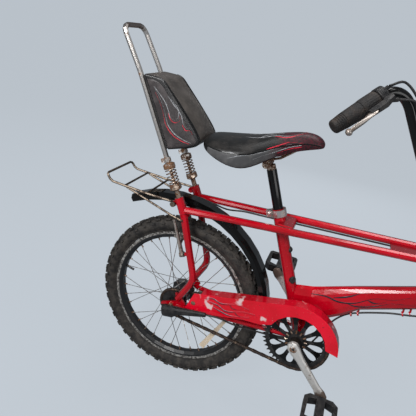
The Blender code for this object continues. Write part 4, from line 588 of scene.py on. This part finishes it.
def grips():
    for name, length in (("right", 60), ("left", 97.4)):
        origin, inward = mm(*GRIPS[name][0]), GRIPS[name][1]

        def rubber(work):
            profile = grip_profile(length)
            turning(work, origin, inward, profile + [(length, 11.3), (4, 11.3), (3, 5)], 48)
        piece(name + "_grip_sleeve", rubber, "grip", "steering", "grip_rubber", [name + "_grip"])

        def ribs(work):
            profile = [(98.2, 16.6), (98.8, 18)]
            for rib in range(5):
                start = 99.4 + rib * 2.8
                profile += [(start, 18.3), (start + 1.3, 18.3), (start + 1.7, 17.75), (start + 2.4, 17.75)]
            sleeve(work, origin, inward, profile + [(113.8, 18.1), (114.3, 16.6)], 15, 48)
        piece(name + "_clamp_ribs", ribs, "plastic", "steering", "black_plastic")

    def twist(work):
        profile = [(60.8, 15.4), (61.6, 16.2), (64, 16.8), (70, 17), (92, 17.2), (95, 17), (97.2, 15.6)]
        sleeve(work, mm(*GRIPS["right"][0]), GRIPS["right"][1], profile, 11.6, 96, 0.014, 24)
    piece("twist_grip", twist, "grip", "shifter", "black_plastic", ["twist_shifter"])


def levers():
    """Slim cast blades that thicken at the pivot and end in a ball."""
    # distances along the grip and away from it, half thickness and half depth
    stations = [(71, 30.5, 2.6, 6), (66, 31, 2.8, 8), (60, 31.5, 2.8, 8.6), (52, 33.6, 3, 7),
                (44, 36.4, 3.6, 4.6), (36, 37.8, 4.4, 3.2), (22, 38.6, 4.6, 2.9), (10, 40.4, 3.8, 2.9),
                (7.6, 40.7, 4.4, 4.4), (5.8, 40.9, 5.8, 5.8), (3.4, 41, 6.4, 6.4), (0.6, 41, 5.8, 5.8),
                (-1.6, 41, 3.8, 3.8), (-2.6, 41, 1.2, 1.2)]
    for name in ("right", "left"):
        outer, inward, way = Vector(GRIPS[name][0]), Vector(GRIPS[name][1]), Vector(LEVER_WAYS[name])
        thick = inward.cross(way).normalized()

        def fill(work):
            rings = []
            for along, drop, half, deep in stations:
                middle = outer + inward * along + way * drop
                rings.append([(middle + thick * half * cos(a) + way * deep * sin(a)) * MM for a in turns(20)])
            skin(work, rings)
        piece(name + "_lever_blade", fill, "alloy", name + "_lever", "alloy", [name + "_brake_lever"])


handlebar()
grips()
levers()


# Cables
CABLES = {
    "front_brake_cable": [
        (426.3, -282, 986.6), (457.9, -269.3, 985.3), (478.2, -265.7, 944.5), (500.1, -263.9, 904.5),
        (522.6, -263.3, 864.8), (545.9, -263.6, 825.7), (576.2, -247.6, 795.8), (607.9, -225, 772),
        (639.5, -200.3, 750.2), (670.8, -173.3, 730.8), (701.4, -143.6, 714.6), (729.7, -115.1, 693),
        (754.6, -88.7, 665.3), (777, -64.4, 633.7), (795.9, -43.6, 597.8), (813.1, -24.6, 560),
        (830.6, -6.2, 522), (845.9, 12, 483), (856.5, 30.7, 442.7)],
    "rear_brake_cable": [
        (589.1, 300.9, 1059.1), (611.2, 272, 1044.3), (635, 265.4, 1000.6), (656.7, 263.9, 955.1),
        (681.1, 262.2, 911.1), (707.4, 250.5, 870.1), (734.4, 229.7, 833), (760.1, 205.4, 797.1),
        (779.3, 173.9, 763.2), (784.6, 132, 736), (778.9, 98.8, 699.1), (760.5, 75.2, 658.8),
        (725.4, 61.5, 625.8), (680.7, 52.9, 604.7), (633.4, 42.9, 591.4), (583.4, 37.8, 590.7),
        (533.2, 39.7, 586.6), (483, 41.9, 582.5), (432.8, 43.8, 578.4), (382.6, 45.7, 574.4),
        (332.4, 47.5, 570.4), (282.2, 49.4, 566.3), (232, 51.3, 562.3), (181.8, 53.4, 558.3),
        (131.6, 55.7, 554.3), (82.1, 49.5, 548.4), (33.7, 43.2, 557.1), (-15.6, 39.1, 562.4), (-56, 42, 537)],
    "gear_cable": [
        (404.5, -288.8, 1006.7), (429, -263.5, 1016.2), (456.4, -253, 994.4), (475.1, -251, 962),
        (491.8, -251, 928.4), (507.2, -258.5, 895), (525.3, -257.8, 862.4), (545.7, -240.9, 836.2),
        (565.8, -216.7, 815.6), (585.5, -190.7, 797), (605, -164.1, 779), (624.2, -137.4, 760.7),
        (643, -112.1, 740.3), (657.9, -91.6, 713.1), (670.1, -77.8, 680.4), (684, -65.6, 647.6),
        (694.4, -55.3, 613.1), (699.7, -47.4, 576.8), (700.4, -41.6, 539.7), (691.5, -34.2, 504.2),
        (673.7, -22, 473.5), (647.9, -11.5, 448.6), (614, -5.3, 433.8), (578.3, -1.4, 422.8),
        (543.4, 0.8, 409.2), (508.6, 1, 394.8), (475.3, 0.2, 377.6), (449.4, -1.6, 350.9), (431.7, -5.6, 318),
        (416, -12.4, 284.6), (395.8, -21, 254.2), (363.1, -28.7, 240.7), (326.1, -31.9, 245.8),
        (289.3, -33.5, 252.7), (252.3, -38.5, 253.8), (217.8, -52.3, 259.8), (185.5, -68.2, 270.2),
        (151.7, -79.6, 281.7), (114.5, -83.5, 279.8)]}
CABLE_RADIUS = 2.4


def cables():
    """Each cable is one smooth run. The two that cross the steering ride on no body."""
    bends = {"rear_brake_cable": (0.88, 0.61), "gear_cable": (0.85, 0.52)}  # the two that cross the steering, with two heights each
    for name, route in CABLES.items():
        def fill(work):
            tube(work, [mm(*p) for p in along_curve(route, 5)], CABLE_RADIUS * MM, 10)
        if name not in bends:
            piece(name + "_run", fill, "cable", "steering", "cable_sleeve", [name])
            continue
        made = piece(name + "_run", fill, "cable", None, "cable_sleeve", [name, name + "_on_bar"])
        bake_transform(made)


cables()


# Springs and headset, in millimetres
SPRING_TURNS = 5
SPRING_RADIUS = 13.9
SPRING_WIRE = 1.6
SPRING_LOW, SPRING_HIGH = 38.8, 83.2
LOWER_CUP, UPPER_CUP = 345, 487  # along the steering axis


def springs():
    length = SPRING_HIGH - SPRING_LOW
    steps = 20 * SPRING_TURNS
    for side, name in SIDES:
        leg = side * LEG_Y / MM

        def fill(work):
            points = []
            for i in range(-10, steps + 11):
                a = tau * SPRING_TURNS * i / steps
                points.append(on_sissy(SPRING_LOW + length * min(max(i / steps, 0), 1),
                                       SPRING_RADIUS * cos(a), leg + SPRING_RADIUS * sin(a)))
            tube(work, points, SPRING_WIRE * MM, 10)
        made = piece(name + "_spring_coil", fill, "rusty", "frame", "rusty_steel", [name + "_spring"])
        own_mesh(made)


def on_sissy(distance, ahead=0, y=0):
    """A point on a sissy bar leg's line, in millimetres from the top of the frame's socket."""
    return SOCKET_TOP + SISSY_UP * distance * MM + SISSY_FRONT * ahead * MM + Vector((0, y * MM, 0))


def headset():
    foot = STEER_PIVOT - STEER_UP * LOWER_CUP * MM
    for name, end, way in (("lower", LOWER_CUP, -1), ("upper", UPPER_CUP, 1)):
        def fill(work):
            profile = [(end - way * 1.6, 23), (end - way * 1.6, 24.9), (end + way * 2, 25.1),
                       (end + way * 8, 23.4), (end + way * 11.7, 21.2), (end + way * 12.2, 20.6)]
            sleeve(work, foot, STEER_UP, profile, 15.6, 40)
        piece("headset_cup_" + name, fill, "black", "frame", "black_enamel")


springs()
headset()


# Drive, in millimetres about the bottom bracket
CHAINRING_ARMS = 12
FIRST_ARM = radians(-48)


def crank_bolts():
    for side, name in SIDES:
        for part, y, sides, material, profile in (
                ("", 86.6, 32, "chrome", [(0, 0.5), (0, 9.4), (0.7, 9.4), (1.3, 8.4), (1.3, 5.2), (0.3, 4.8),
                                          (0.2, 0.4)]),
                ("_recess", 86.9, 6, "plastic", [(0, 0.3), (0, 3.9), (0.35, 3.9), (0.35, 0.3)])):
            origin = BRACKET + mm(0, side * y, 0)
            turned_piece(f"{name}_crank_bolt{part}", origin, (0, side, 0), profile, sides, material,
                         "crank", "alloy")


def spider_tips():
    """Bright worn spots where the chainring's arms meet its hub."""
    def fill(work):
        for i in range(CHAINRING_ARMS):
            a = tau * (i + 0.25) / CHAINRING_ARMS
            low, high = BRACKET + polar(22, -46.2, a) * MM, BRACKET + polar(31, -46, a) * MM
            tube(work, [low.lerp(high, t / 4) for t in range(5)], 2.3 * MM, 10)
    piece("spider_tips", fill, "rusty", "crank", "alloy")


def ring_flares():
    """Webs that round the outer ends of the chainring's openings, so that its arms open like petals."""
    half_pitch = pi / CHAINRING_ARMS

    def fill(work):
        for i in range(CHAINRING_ARMS):
            middle = FIRST_ARM + 2 * half_pitch * i
            rings = []
            for step in range(9):
                r = 50 + 25.6 * step / 8
                share = min(max(0, (r - 54) / 21), 1)
                arm, whole = r * 0.075 + 1.4, r * half_pitch
                half = min(arm + (whole - arm) * (1 - sqrt(1 - share * share)), whole)
                rings.append([BRACKET + polar(r, y, middle + way * half / r) * MM
                              for y, way in ((-45.35, -1), (-45.35, 1), (-42.6, 1), (-42.6, -1))])
            skin(work, rings)
    piece("ring_flares", fill, "black", "crank", "black_plastic")


def nipples():
    """Rusty nipples where the spokes enter each rim, and a valve stem."""
    for wheel in WHEELS:
        place = wheel_matrix(wheel)
        inner = wheel.nipples / MM

        def fill(work):
            for k in range(wheel.spokes):
                side = -1 if k % 2 == 0 else 1
                lead = 1 if (k // 2) % 2 == 0 else -1
                points = [place @ (polar(r, side * 3 + lead * 1.3, tau * k / wheel.spokes) * MM)
                          for r in (inner - 9, inner - 5, inner + 0.6)]
                tube(work, points, 2.1 * MM, 8)
        piece(wheel.name + "_nipples", fill, "rusty", wheel.name + "_wheel", "chrome")

        def stem(work):
            out = polar(1, 0, radians(165) + pi / wheel.spokes)
            turning(work, (0, 0, 0), out, [(inner - 26, 0.5), (inner - 26, 3.4), (inner - 12, 3.4),
                                           (inner - 11, 2.6), (inner + 0.5, 2.6)], 16)
            bmesh.ops.transform(work, matrix=place, verts=work.verts)
        piece(wheel.name + "_valve", stem, "plastic", wheel.name + "_wheel", "black_plastic")


# The main tube's lower edge in the side view, at x = 0 and along x, in millimetres
MAIN_TUBE_LOW = 219.8
MAIN_TUBE_SLOPE = 0.3745


def frame_fittings():
    """Cable guides, the guard's screw, and the clip and the stop on the seat tube."""
    def screw(work):
        out = (0, -1, 0)
        turning(work, mm(66, -68.3, 291), out, [(0, 0.4), (0, 6.2), (0.9, 6.2), (1.7, 4.6), (1.9, 0.4)], 24)
        turning(work, mm(66, -70, 291), out, [(0, 0.3), (0, 2), (0.6, 1.9), (0.6, 0.3)], 6)
    piece("guard_screw", screw, "rusty", "frame", "rusty_steel")
    for name, origin, axis, sides, profile in (
            ("clip", mm(315, -12.9, 431), (0.6, -0.77, 0.23), 32,
             [(-3, 0.5), (-3, 9.6), (1.6, 9.8), (2.8, 8.2), (2.8, 4.4), (1.9, 3.8), (1.9, 0.5)]),
            ("stop", mm(285, 0, 509), (0.931, 0, 0.365), 24,
             [(0, 0.5), (0, 11), (4, 9.5), (8.5, 5), (10, 2.4), (10, 0.5)])):
        turned_piece("seat_tube_" + name, origin, axis, profile, sides, "plastic", "frame", "black_plastic")

    def guides(work):
        for x, z in ((484, 382.2), (500, 390.4), (603, 430.4), (619, 436.2)):
            turning(work, mm(x, 0, z), (0.92, 0, 0.39), [(-2, 3), (-2, 6.4), (2, 6.4), (2, 3)], 20)
            tube_edge = MAIN_TUBE_LOW + MAIN_TUBE_SLOPE * x
            tube(work, [mm(x, 0, z + 5), mm(x - 0.6, 0, tube_edge + 3)], 2.6 * MM, 12)
    piece("cable_guides", guides, "red", "frame", "red_enamel")


ring_flares()
crank_bolts()
spider_tips()
nipples()
frame_fittings()


# Saddle
SADDLE = [  # x, half width, crown height, edge height, wing bottom, middle of the underside, in millimetres
    (9, 50, 768, 760, 752, 757), (11, 60, 771, 760, 748, 757), (24, 80, 775, 759, 738, 757),
    (76, 101, 783, 761, 722, 761), (130, 99, 794, 768, 716, 769), (170, 74, 808, 782, 740, 781),
    (216, 43.5, 825, 800, 774, 793), (270, 29.5, 839, 814, 794, 805), (300, 23, 830, 813, 803, 806),
    (308, 13, 819, 811, 806, 808), (310, 7, 815, 811, 808, 809)]
BURGUNDY = (0.075, 0.01, 0.018)
NOSE_FROM, NOSE_FULL = 0.215, 0.245


def vinyl(name, base, bright):
    """Grained black vinyl, with the burgundy of a saddle's nose where the piece reaches that far forward."""
    paint = Shader(name, base, 0.42)
    wear = paint.patches(0.4, 0.75, 30, 5, 0.6)
    reach = paint.math("ADD", paint.axis("X"), paint.math("MULTIPLY", paint.noise(26, 3), 0.06))
    nose = paint.mixed(paint.patches(0.4, 0.62, 240, 3, 0.7), BURGUNDY, (0.012, 0.009, 0.01))
    tone = paint.mixed(paint.steps(reach, NOSE_FROM, NOSE_FULL), paint.mixed(wear, base, bright), nose)
    paint.set("Specular IOR Level", 0.35)
    paint.bump(paint.cells(520), 0.2, 0.0006)
    return paint.finish(tone, paint.number(wear, 0.34, 0.52))


def saddle_ring(x, w, crown, edge, wing, under):
    """One section across the saddle, from the middle of its top round the wing and back under it."""
    rise = crown - edge
    half = [(0, crown), (0.34 * w, crown - 0.05 * rise), (0.66 * w, crown - 0.28 * rise),
            (0.9 * w, edge + 0.22 * rise), (w, edge - 0.12 * (edge - wing)), (w, 0.55 * edge + 0.45 * wing),
            (0.965 * w, wing + 2), (0.88 * w, wing), (0.55 * w, under - 2), (0, under)]
    return [mm(x, y, z) for y, z in half] + [mm(x, -y, z) for y, z in half[-2:0:-1]]


def smoothed(made, levels=2):
    modifier = made.modifiers.new("smooth", "SUBSURF")
    modifier.levels = modifier.render_levels = levels


def saddle_cover():
    def fill(work):
        skin(work, [saddle_ring(*row) for row in SADDLE])
    top = vinyl("saddle_vinyl", (0.006, 0.006, 0.006), (0.024, 0.021, 0.019))
    made = piece("saddle_cover", fill, top, "seat", "vinyl", ["saddle"], 180)
    made.data.materials.append(vinyl("saddle_side", (0.085, 0.085, 0.088), (0.15, 0.148, 0.148)))
    for face in made.data.polygons:  # the wings' grey sides
        if abs(face.normal.y) > 0.62 and 0.02 < face.center.x < 0.25 and face.normal.z < 0.35:
            face.material_index = 1
    smoothed(made)
    return made


def surface_of(*objects):
    """A function that finds where a ray from a point meets the final form of some objects."""
    graph = bpy.context.evaluated_depsgraph_get()
    trees = []
    for obj in objects:
        shape = bmesh.new()
        shape.from_object(obj, graph)
        shape.transform(obj.matrix_world)
        trees.append(BVHTree.FromBMesh(shape))
        shape.free()

    def meet(origin, way):
        hits = [hit for hit in (tree.ray_cast(origin, way) for tree in trees) if hit[0] is not None]
        return min(hits, key=lambda hit: hit[3]) if hits else None
    return meet


LINE_HEIGHT, LINE_DEPTH = 0.35, 0.25
VIEWS = {  # where a ray through a drawn point starts, and which way it goes
    "right": (lambda u, v: mm(u, -300, v), Vector((0, 1, 0))),
    "left": (lambda u, v: mm(u, 300, v), Vector((0, -1, 0))),
    "above": (lambda u, v: mm(u, v, 900), Vector((0, 0, -1))),
}


def drawn(work, meet, lines, view, half_width):
    """Thin bands laid on a surface along lines drawn in a view, so that painted motifs are real forms."""
    to_origin, way = VIEWS[view]
    for line in lines:
        run = []
        points = along_curve([(u, v, 0) for u, v in line], 10)
        for number, point in enumerate(points):
            hit = meet(to_origin(point.x, point.y), way)
            if hit:
                swell = sin(pi * min(number / (len(points) - 1) * 1.25 + 0.12, 1))
                run.append((hit[0], hit[1], max(0.16, swell)))
        if len(run) < 4:
            continue
        rings = []
        for i, (spot, normal, swell) in enumerate(run):
            ahead = (run[min(i + 1, len(run) - 1)][0] - run[max(i - 1, 0)][0]).normalized()
            if normal.dot(way) > 0:
                normal = -normal
            across = ahead.cross(normal).normalized() * half_width * swell * MM
            base, top = spot - normal * LINE_DEPTH * MM, spot + normal * LINE_HEIGHT * MM
            rings.append([base - across, top - across * 0.7, top + across * 0.7, base + across])
        skin(work, rings)


def line_piece(name, meet, lines, view, half_width, tone, body, slot):
    piece(name, lambda work: drawn(work, meet, lines, view, half_width), LINES[tone], body, slot)


def line_paint(name, colour):
    paint = Shader(name, colour, 0.4)
    fade = paint.patches(0.35, 0.7, 120, 4, 0.6)
    return paint.finish(paint.mixed(fade, colour, tuple(0.45 * c for c in colour)))


LINES = {tone: line_paint(tone + "_line", colour) for tone, colour in (
    ("grey", (0.42, 0.43, 0.45)), ("red", (0.78, 0.03, 0.06)), ("dark", (0.018, 0.018, 0.03)),
    ("pale", (0.4, 0.36, 0.44)))}


def saddle_details(cover):
    meet = surface_of(cover)
    top_grey = [[(112, s * 20), (150, s * 30), (184, s * 22), (216, s * 26), (246, s * 12), (256, 0)]
                for s in (-1, 1)]
    top_grey += [[(150, s * 30), (160, s * 14), (190, s * 6), (206, s * 10)] for s in (-1, 1)]
    top_red = [[(186, s * 27), (216, s * 30.5), (250, s * 14), (262, 0)] for s in (-1, 1)]
    side_grey = [
        [(92, 744), (118, 756), (146, 765), (174, 776), (200, 789), (226, 802), (256, 806)],
        [(256, 806), (230, 796), (208, 784), (190, 774), (170, 764), (152, 752)],
        [(118, 756), (96, 760), (70, 752)]]
    side_red = [[(178, 783), (202, 795), (228, 808), (262, 811)],
                [(258, 802), (238, 795), (220, 786), (204, 776)]]
    for tone, top, top_width, aside, side_width in (
            ("grey", top_grey, 1.3, side_grey, 1.2), ("red", top_red, 1.5, side_red, 1.6)):
        def fill(work):
            drawn(work, meet, top, "above", top_width)
            drawn(work, meet, aside, "right", side_width)
            drawn(work, meet, aside, "left", side_width)
        piece(f"saddle_{tone}_flames", fill, LINES[tone], "seat", "vinyl")

    def piping(work):
        for side, _ in SIDES:
            points = [mm(x, side * (w + 0.2), edge - 0.12 * (edge - wing))
                      for x, w, _, edge, wing, _ in SADDLE[2:9]]
            hits = [meet(spot + Vector((0, side * 0.05, 0)), Vector((0, -side, 0)))
                    for spot in along_curve(points, 6)]
            tube(work, [hit[0] for hit in hits if hit], 1.5 * MM, 8)
    piece("saddle_piping", piping, "black", "seat", "vinyl")


saddle_details(saddle_cover())


# Backrest
CORNER_TURN = 1.2


def backrest_outline():
    """The side view of the pad, with a close pair of points round the two corners that stay sharp."""
    rear_low, rear_high = on_sissy(135, 11.8) / MM, on_sissy(344, 11.8) / MM
    run = [Vector(spot) for spot in (
        (rear_low.x, rear_low.z), (-38, 727), (-4, 741), (4, 752), (0.5, 764), (-18, 786), (-38, 807),
        (-60, 830), (-80, 850.5), (-98, 869), (-113, 884), (-118.5, 889.5), (-128, 895.5), (-142, 898.5),
        (rear_high.x, rear_high.z))]
    out = []
    for number, here in enumerate(run):
        before, after = run[number - 1], run[(number + 1) % len(run)]
        if number in (0, len(run) - 1):
            out += [here + (before - here).normalized() * CORNER_TURN, here,
                    here + (after - here).normalized() * CORNER_TURN]
        else:
            out.append(here)
    return out


PAD_MIDDLE = Vector((-75, 815))
PAD_FRONT = Vector((0.72, 0.69))  # the way its front faces
FRONT_LOW, FRONT_HIGH = 752, 897
PAD_ROWS = (  # distance to the left, scale of the outline, crown of the front
    (-65.6, 0.9, 0), (-65.4, 0.965, 0), (-62.4, 1, 0.4), (-56, 1, 2.4), (-38, 1, 7.5), (-16, 1, 10.6),
    (16, 1, 10.6), (38, 1, 7.5), (56, 1, 2.4), (62.4, 1, 0.4), (65.4, 0.965, 0), (65.6, 0.9, 0))


def pad_point(x, z, y, scale, crown):
    """A point of the pad's scaled outline at a distance y, pushed out by the crown where it faces front."""
    place = PAD_MIDDLE + (Vector((x, z)) - PAD_MIDDLE) * scale
    if x + 0.55 * (z - 732) > -22:
        share = min(max((z - FRONT_LOW) / 38, 0), 1) * min(max((FRONT_HIGH - z) / 12, 0), 1)
        place += PAD_FRONT * crown * share
    return mm(place.x, y, place.y)


def backrest_material():
    """Brown front vinyl between black side faces."""
    paint = Shader("backrest_vinyl", (0.05, 0.045, 0.042), 0.5)
    wear = paint.patches(0.35, 0.75, 26, 5, 0.6)
    front = paint.mixed(wear, (0.046, 0.039, 0.034), (0.09, 0.076, 0.067))
    side = paint.mixed(wear, (0.005, 0.005, 0.006), (0.016, 0.015, 0.015))
    edge = paint.steps(paint.math("ABSOLUTE", paint.axis("Y")), 0.0572, 0.0584)
    paint.bump(paint.cells(520), 0.15, 0.0005)
    return paint.finish(paint.mixed(edge, front, side), paint.number(edge, 0.5, 0.26))


def backrest_cover():
    outline = backrest_outline()

    def fill(work):
        skin(work, [[pad_point(x, z, y, scale, crown) for x, z in outline] for y, scale, crown in PAD_ROWS])
    made = piece("backrest_cover", fill, backrest_material(), "sissy", "vinyl", ["backrest_pad"], 180)
    smoothed(made)
    return made


def backrest_details(cover):
    panel_paint = vinyl("backrest_panel", (0.04, 0.034, 0.035), (0.092, 0.08, 0.08))
    loop = [Vector(spot) for spot in (
        (-82, 718), (-38, 732.5), (-12, 744), (-7, 755), (-12, 764), (-46, 799), (-68, 822), (-88, 842.5),
        (-106, 861), (-121, 876), (-136, 886), (-152, 889), (-170, 888))]
    centre = sum(loop, Vector((0, 0))) / len(loop)
    panels = []
    for side, name in SIDES:
        def panel(work):
            rings = []
            for y, scale in ((61, 1), (66.2, 1), (66.9, 0.985), (67.1, 0.94)):
                spots = [centre + (p - centre) * scale for p in loop]
                rings.append([mm(spot.x, side * y, spot.y) for spot in spots])
            skin(work, rings)
        panels.append(piece(f"backrest_panel_{name}", panel, panel_paint, "sissy", "vinyl", (), 50))
    meet = surface_of(cover, *panels)

    def piping(work):
        for side, _ in SIDES:
            spots = []
            for spot in along_curve([mm(x, side * 63.6, z) for x, z in backrest_outline()[3:-3]], 4):
                way = (Vector((PAD_MIDDLE.x * MM, spot.y, PAD_MIDDLE.y * MM)) - spot).normalized()
                hit = meet(spot - way * 0.05, way)
                if hit:
                    spots.append(hit[0] - way * 0.4 * MM)
            tube(work, spots, 1.9 * MM, 10)
    piece("backrest_piping", piping, "black", "sissy", "vinyl")
    grey = [
        [(-20, 748), (-44, 752), (-70, 762), (-92, 782), (-104, 808), (-118, 836), (-146, 872)],
        [(-146, 872), (-112, 842), (-96, 818), (-88, 802), (-74, 797), (-66, 806)],
        [(-66, 806), (-68, 824), (-84, 842), (-104, 856)],
        [(-104, 856), (-78, 832), (-58, 812), (-50, 794), (-40, 784), (-31, 786)]]
    red = [
        [(-24, 744.5), (-46, 747), (-74, 757), (-97, 779), (-109, 806), (-122, 832), (-140, 858)],
        [(-96, 812), (-86, 796), (-73, 791), (-61, 799), (-62, 812)],
        [(-52, 790), (-40, 778), (-28, 780), (-20, 772)]]
    for _, name in SIDES:
        for tone, lines in (("grey", grey), ("red", red)):
            line_piece(f"backrest_{tone}_flames_{name}", meet, lines, name, 1.35, tone, "sissy", "vinyl")


backrest_details(backrest_cover())


# Painted motifs on the frame
def frame_details():
    guard = surface_of(NODES["chain_guard"])
    tube_face = surface_of(NODES["main_tube"])
    guard_dark = [
        [(100, 318), (122, 326), (146, 320), (170, 326), (196, 334), (228, 330)],
        [(112, 312), (138, 311), (162, 302), (188, 308), (214, 318), (246, 322)],
        [(128, 300), (150, 295), (176, 292), (204, 298), (232, 308)],
        [(170, 326), (180, 318), (196, 320), (206, 326)],
        [(188, 308), (200, 302), (218, 306)]]
    guard_pale = [[(u - 3, v + 2.6) for u, v in line] for line in guard_dark[:3]]
    line_piece("guard_flames", guard, guard_dark, "right", 1.5, "dark", "frame", "red_enamel")
    line_piece("guard_flame_edges", guard, guard_pale, "right", 0.7, "pale", "frame", "red_enamel")
    along_tube = [
        [(0, 46), (40, 40), (80, 24), (120, 22), (165, 36), (210, 32), (250, 40)],
        [(60, 36), (96, 40), (130, 50), (170, 52)],
        [(96, 22), (130, 10), (170, 12), (206, 22), (238, 20)],
        [(150, 30), (170, 22), (196, 26)]]
    tube_dark = [[(372 + u * 0.9365, 363 + u * 0.3507 + v) for u, v in line] for line in along_tube]
    for _, name in SIDES:
        line_piece("tube_flames_" + name, tube_face, tube_dark, name, 2.6, "dark", "frame", "red_enamel")


frame_details()


# Stage, light and camera
BACKGROUND = (0.497, 0.545, 0.596)
FLOOR_SHARE = 0.12
FLOOR_GLOW = 0.955
MIRRORED_SHARE = 0.35
FLOOR_Z = -0.001
STAGE_HALF = 9


def stage():
    """A pale floor that curves up into a wall behind the bicycle."""
    def fill(work):
        flat = [(y, FLOOR_Z) for y in (-STAGE_HALF, -6, -3, 0, 1.5, 2.6, 3.5)]
        rings = [[Vector((x, y, z)) for x in (-STAGE_HALF, STAGE_HALF)]
                 for y, z in flat + [(5.2, 0.45), (6, 1.6), (6.2, 6)]]
        skin(work, rings, closed_ends=False, ring_closed=False)
    paper = Shader("floor", tuple(FLOOR_SHARE * channel for channel in BACKGROUND), 0.9)
    paper.set("Specular IOR Level", 0)
    paper.set("Emission Color", (*BACKGROUND, 1))
    path = paper.tree.nodes.new("ShaderNodeLightPath").outputs
    mirrored = paper.math("MAXIMUM", path["Is Glossy Ray"], path["Is Transmission Ray"])
    seen = paper.math("MAXIMUM", path["Is Camera Ray"], paper.math("MULTIPLY", mirrored, MIRRORED_SHARE))
    paper.join(paper.math("MULTIPLY", seen, FLOOR_GLOW), "Emission Strength")
    floor = mesh_piece("floor", fill, paper.material, None, smooth=180)
    smoothed(floor, 3)


def area_light(name, place, target, size, power):
    data = bpy.data.lights.new(name, "AREA")
    data.shape = "RECTANGLE"
    data.size, data.size_y = size
    data.energy = power
    light = bpy.data.objects.new(name, data)
    light.location = place
    light.rotation_euler = (Vector(target) - Vector(place)).to_track_quat("-Z", "Y").to_euler()
    bpy.context.scene.collection.objects.link(light)
    return light


def camera():
    data = bpy.data.cameras.new("camera")
    data.sensor_width = SENSOR
    data.lens = FOCAL_PIXELS / PICTURE * SENSOR
    data.shift_x = (PICTURE / 2 - PRINCIPAL[0]) / PICTURE
    data.shift_y = (PRINCIPAL[1] - PICTURE / 2) / PICTURE
    data.clip_start = 0.02
    made = bpy.data.objects.new("camera", data)
    back = CAMERA_RIGHT.cross(CAMERA_UP)
    turn = Matrix((CAMERA_RIGHT, CAMERA_UP, back)).transposed().to_4x4()
    made.matrix_world = Matrix.Translation(CAMERA_PLACE) @ turn
    bpy.context.scene.collection.objects.link(made)
    bpy.context.scene.camera = made


def world():
    """A dim even light, with the background's colour where the camera looks past the stage."""
    made = bpy.data.worlds.new("world")
    made.use_nodes = True
    nodes, links = made.node_tree.nodes, made.node_tree.links
    dim, shown = nodes["Background"], nodes.new("ShaderNodeBackground")
    dim.inputs["Color"].default_value = (0.8, 0.84, 0.9, 1)
    dim.inputs["Strength"].default_value = 0.22
    shown.inputs["Color"].default_value = (*BACKGROUND, 1)
    pick = nodes.new("ShaderNodeMixShader")
    links.new(nodes.new("ShaderNodeLightPath").outputs["Is Camera Ray"], pick.inputs["Fac"])
    links.new(dim.outputs[0], pick.inputs[1])
    links.new(shown.outputs[0], pick.inputs[2])
    links.new(pick.outputs[0], nodes["World Output"].inputs["Surface"])
    bpy.context.scene.world = made


stage()
world()
area_light("key", (-0.9, -2.2, 2.4), (0.2, 0, 0.5), (1.5, 0.9), 68)
area_light("front", (-0.9, -2.8, 1), (0, 0, 0.7), (0.5, 2.6), 15)
area_light("fill", (2.6, -1.8, 1.5), (0.3, 0, 0.5), (1.2, 1.6), 17)
# Lights the side that the camera doesn't see, without showing itself
far_side = area_light("far side", (0.1, 2.4, 1.1), (0.3, 0, 0.5), (1.8, 0.9), 24)
far_side.visible_camera = False
far_side.visible_glossy = False
area_light("top", (0.4, 0.2, 3), (0.2, 0, 0.5), (2.2, 0.8), 30)
camera()
bpy.context.scene.view_settings.view_transform = "Standard"
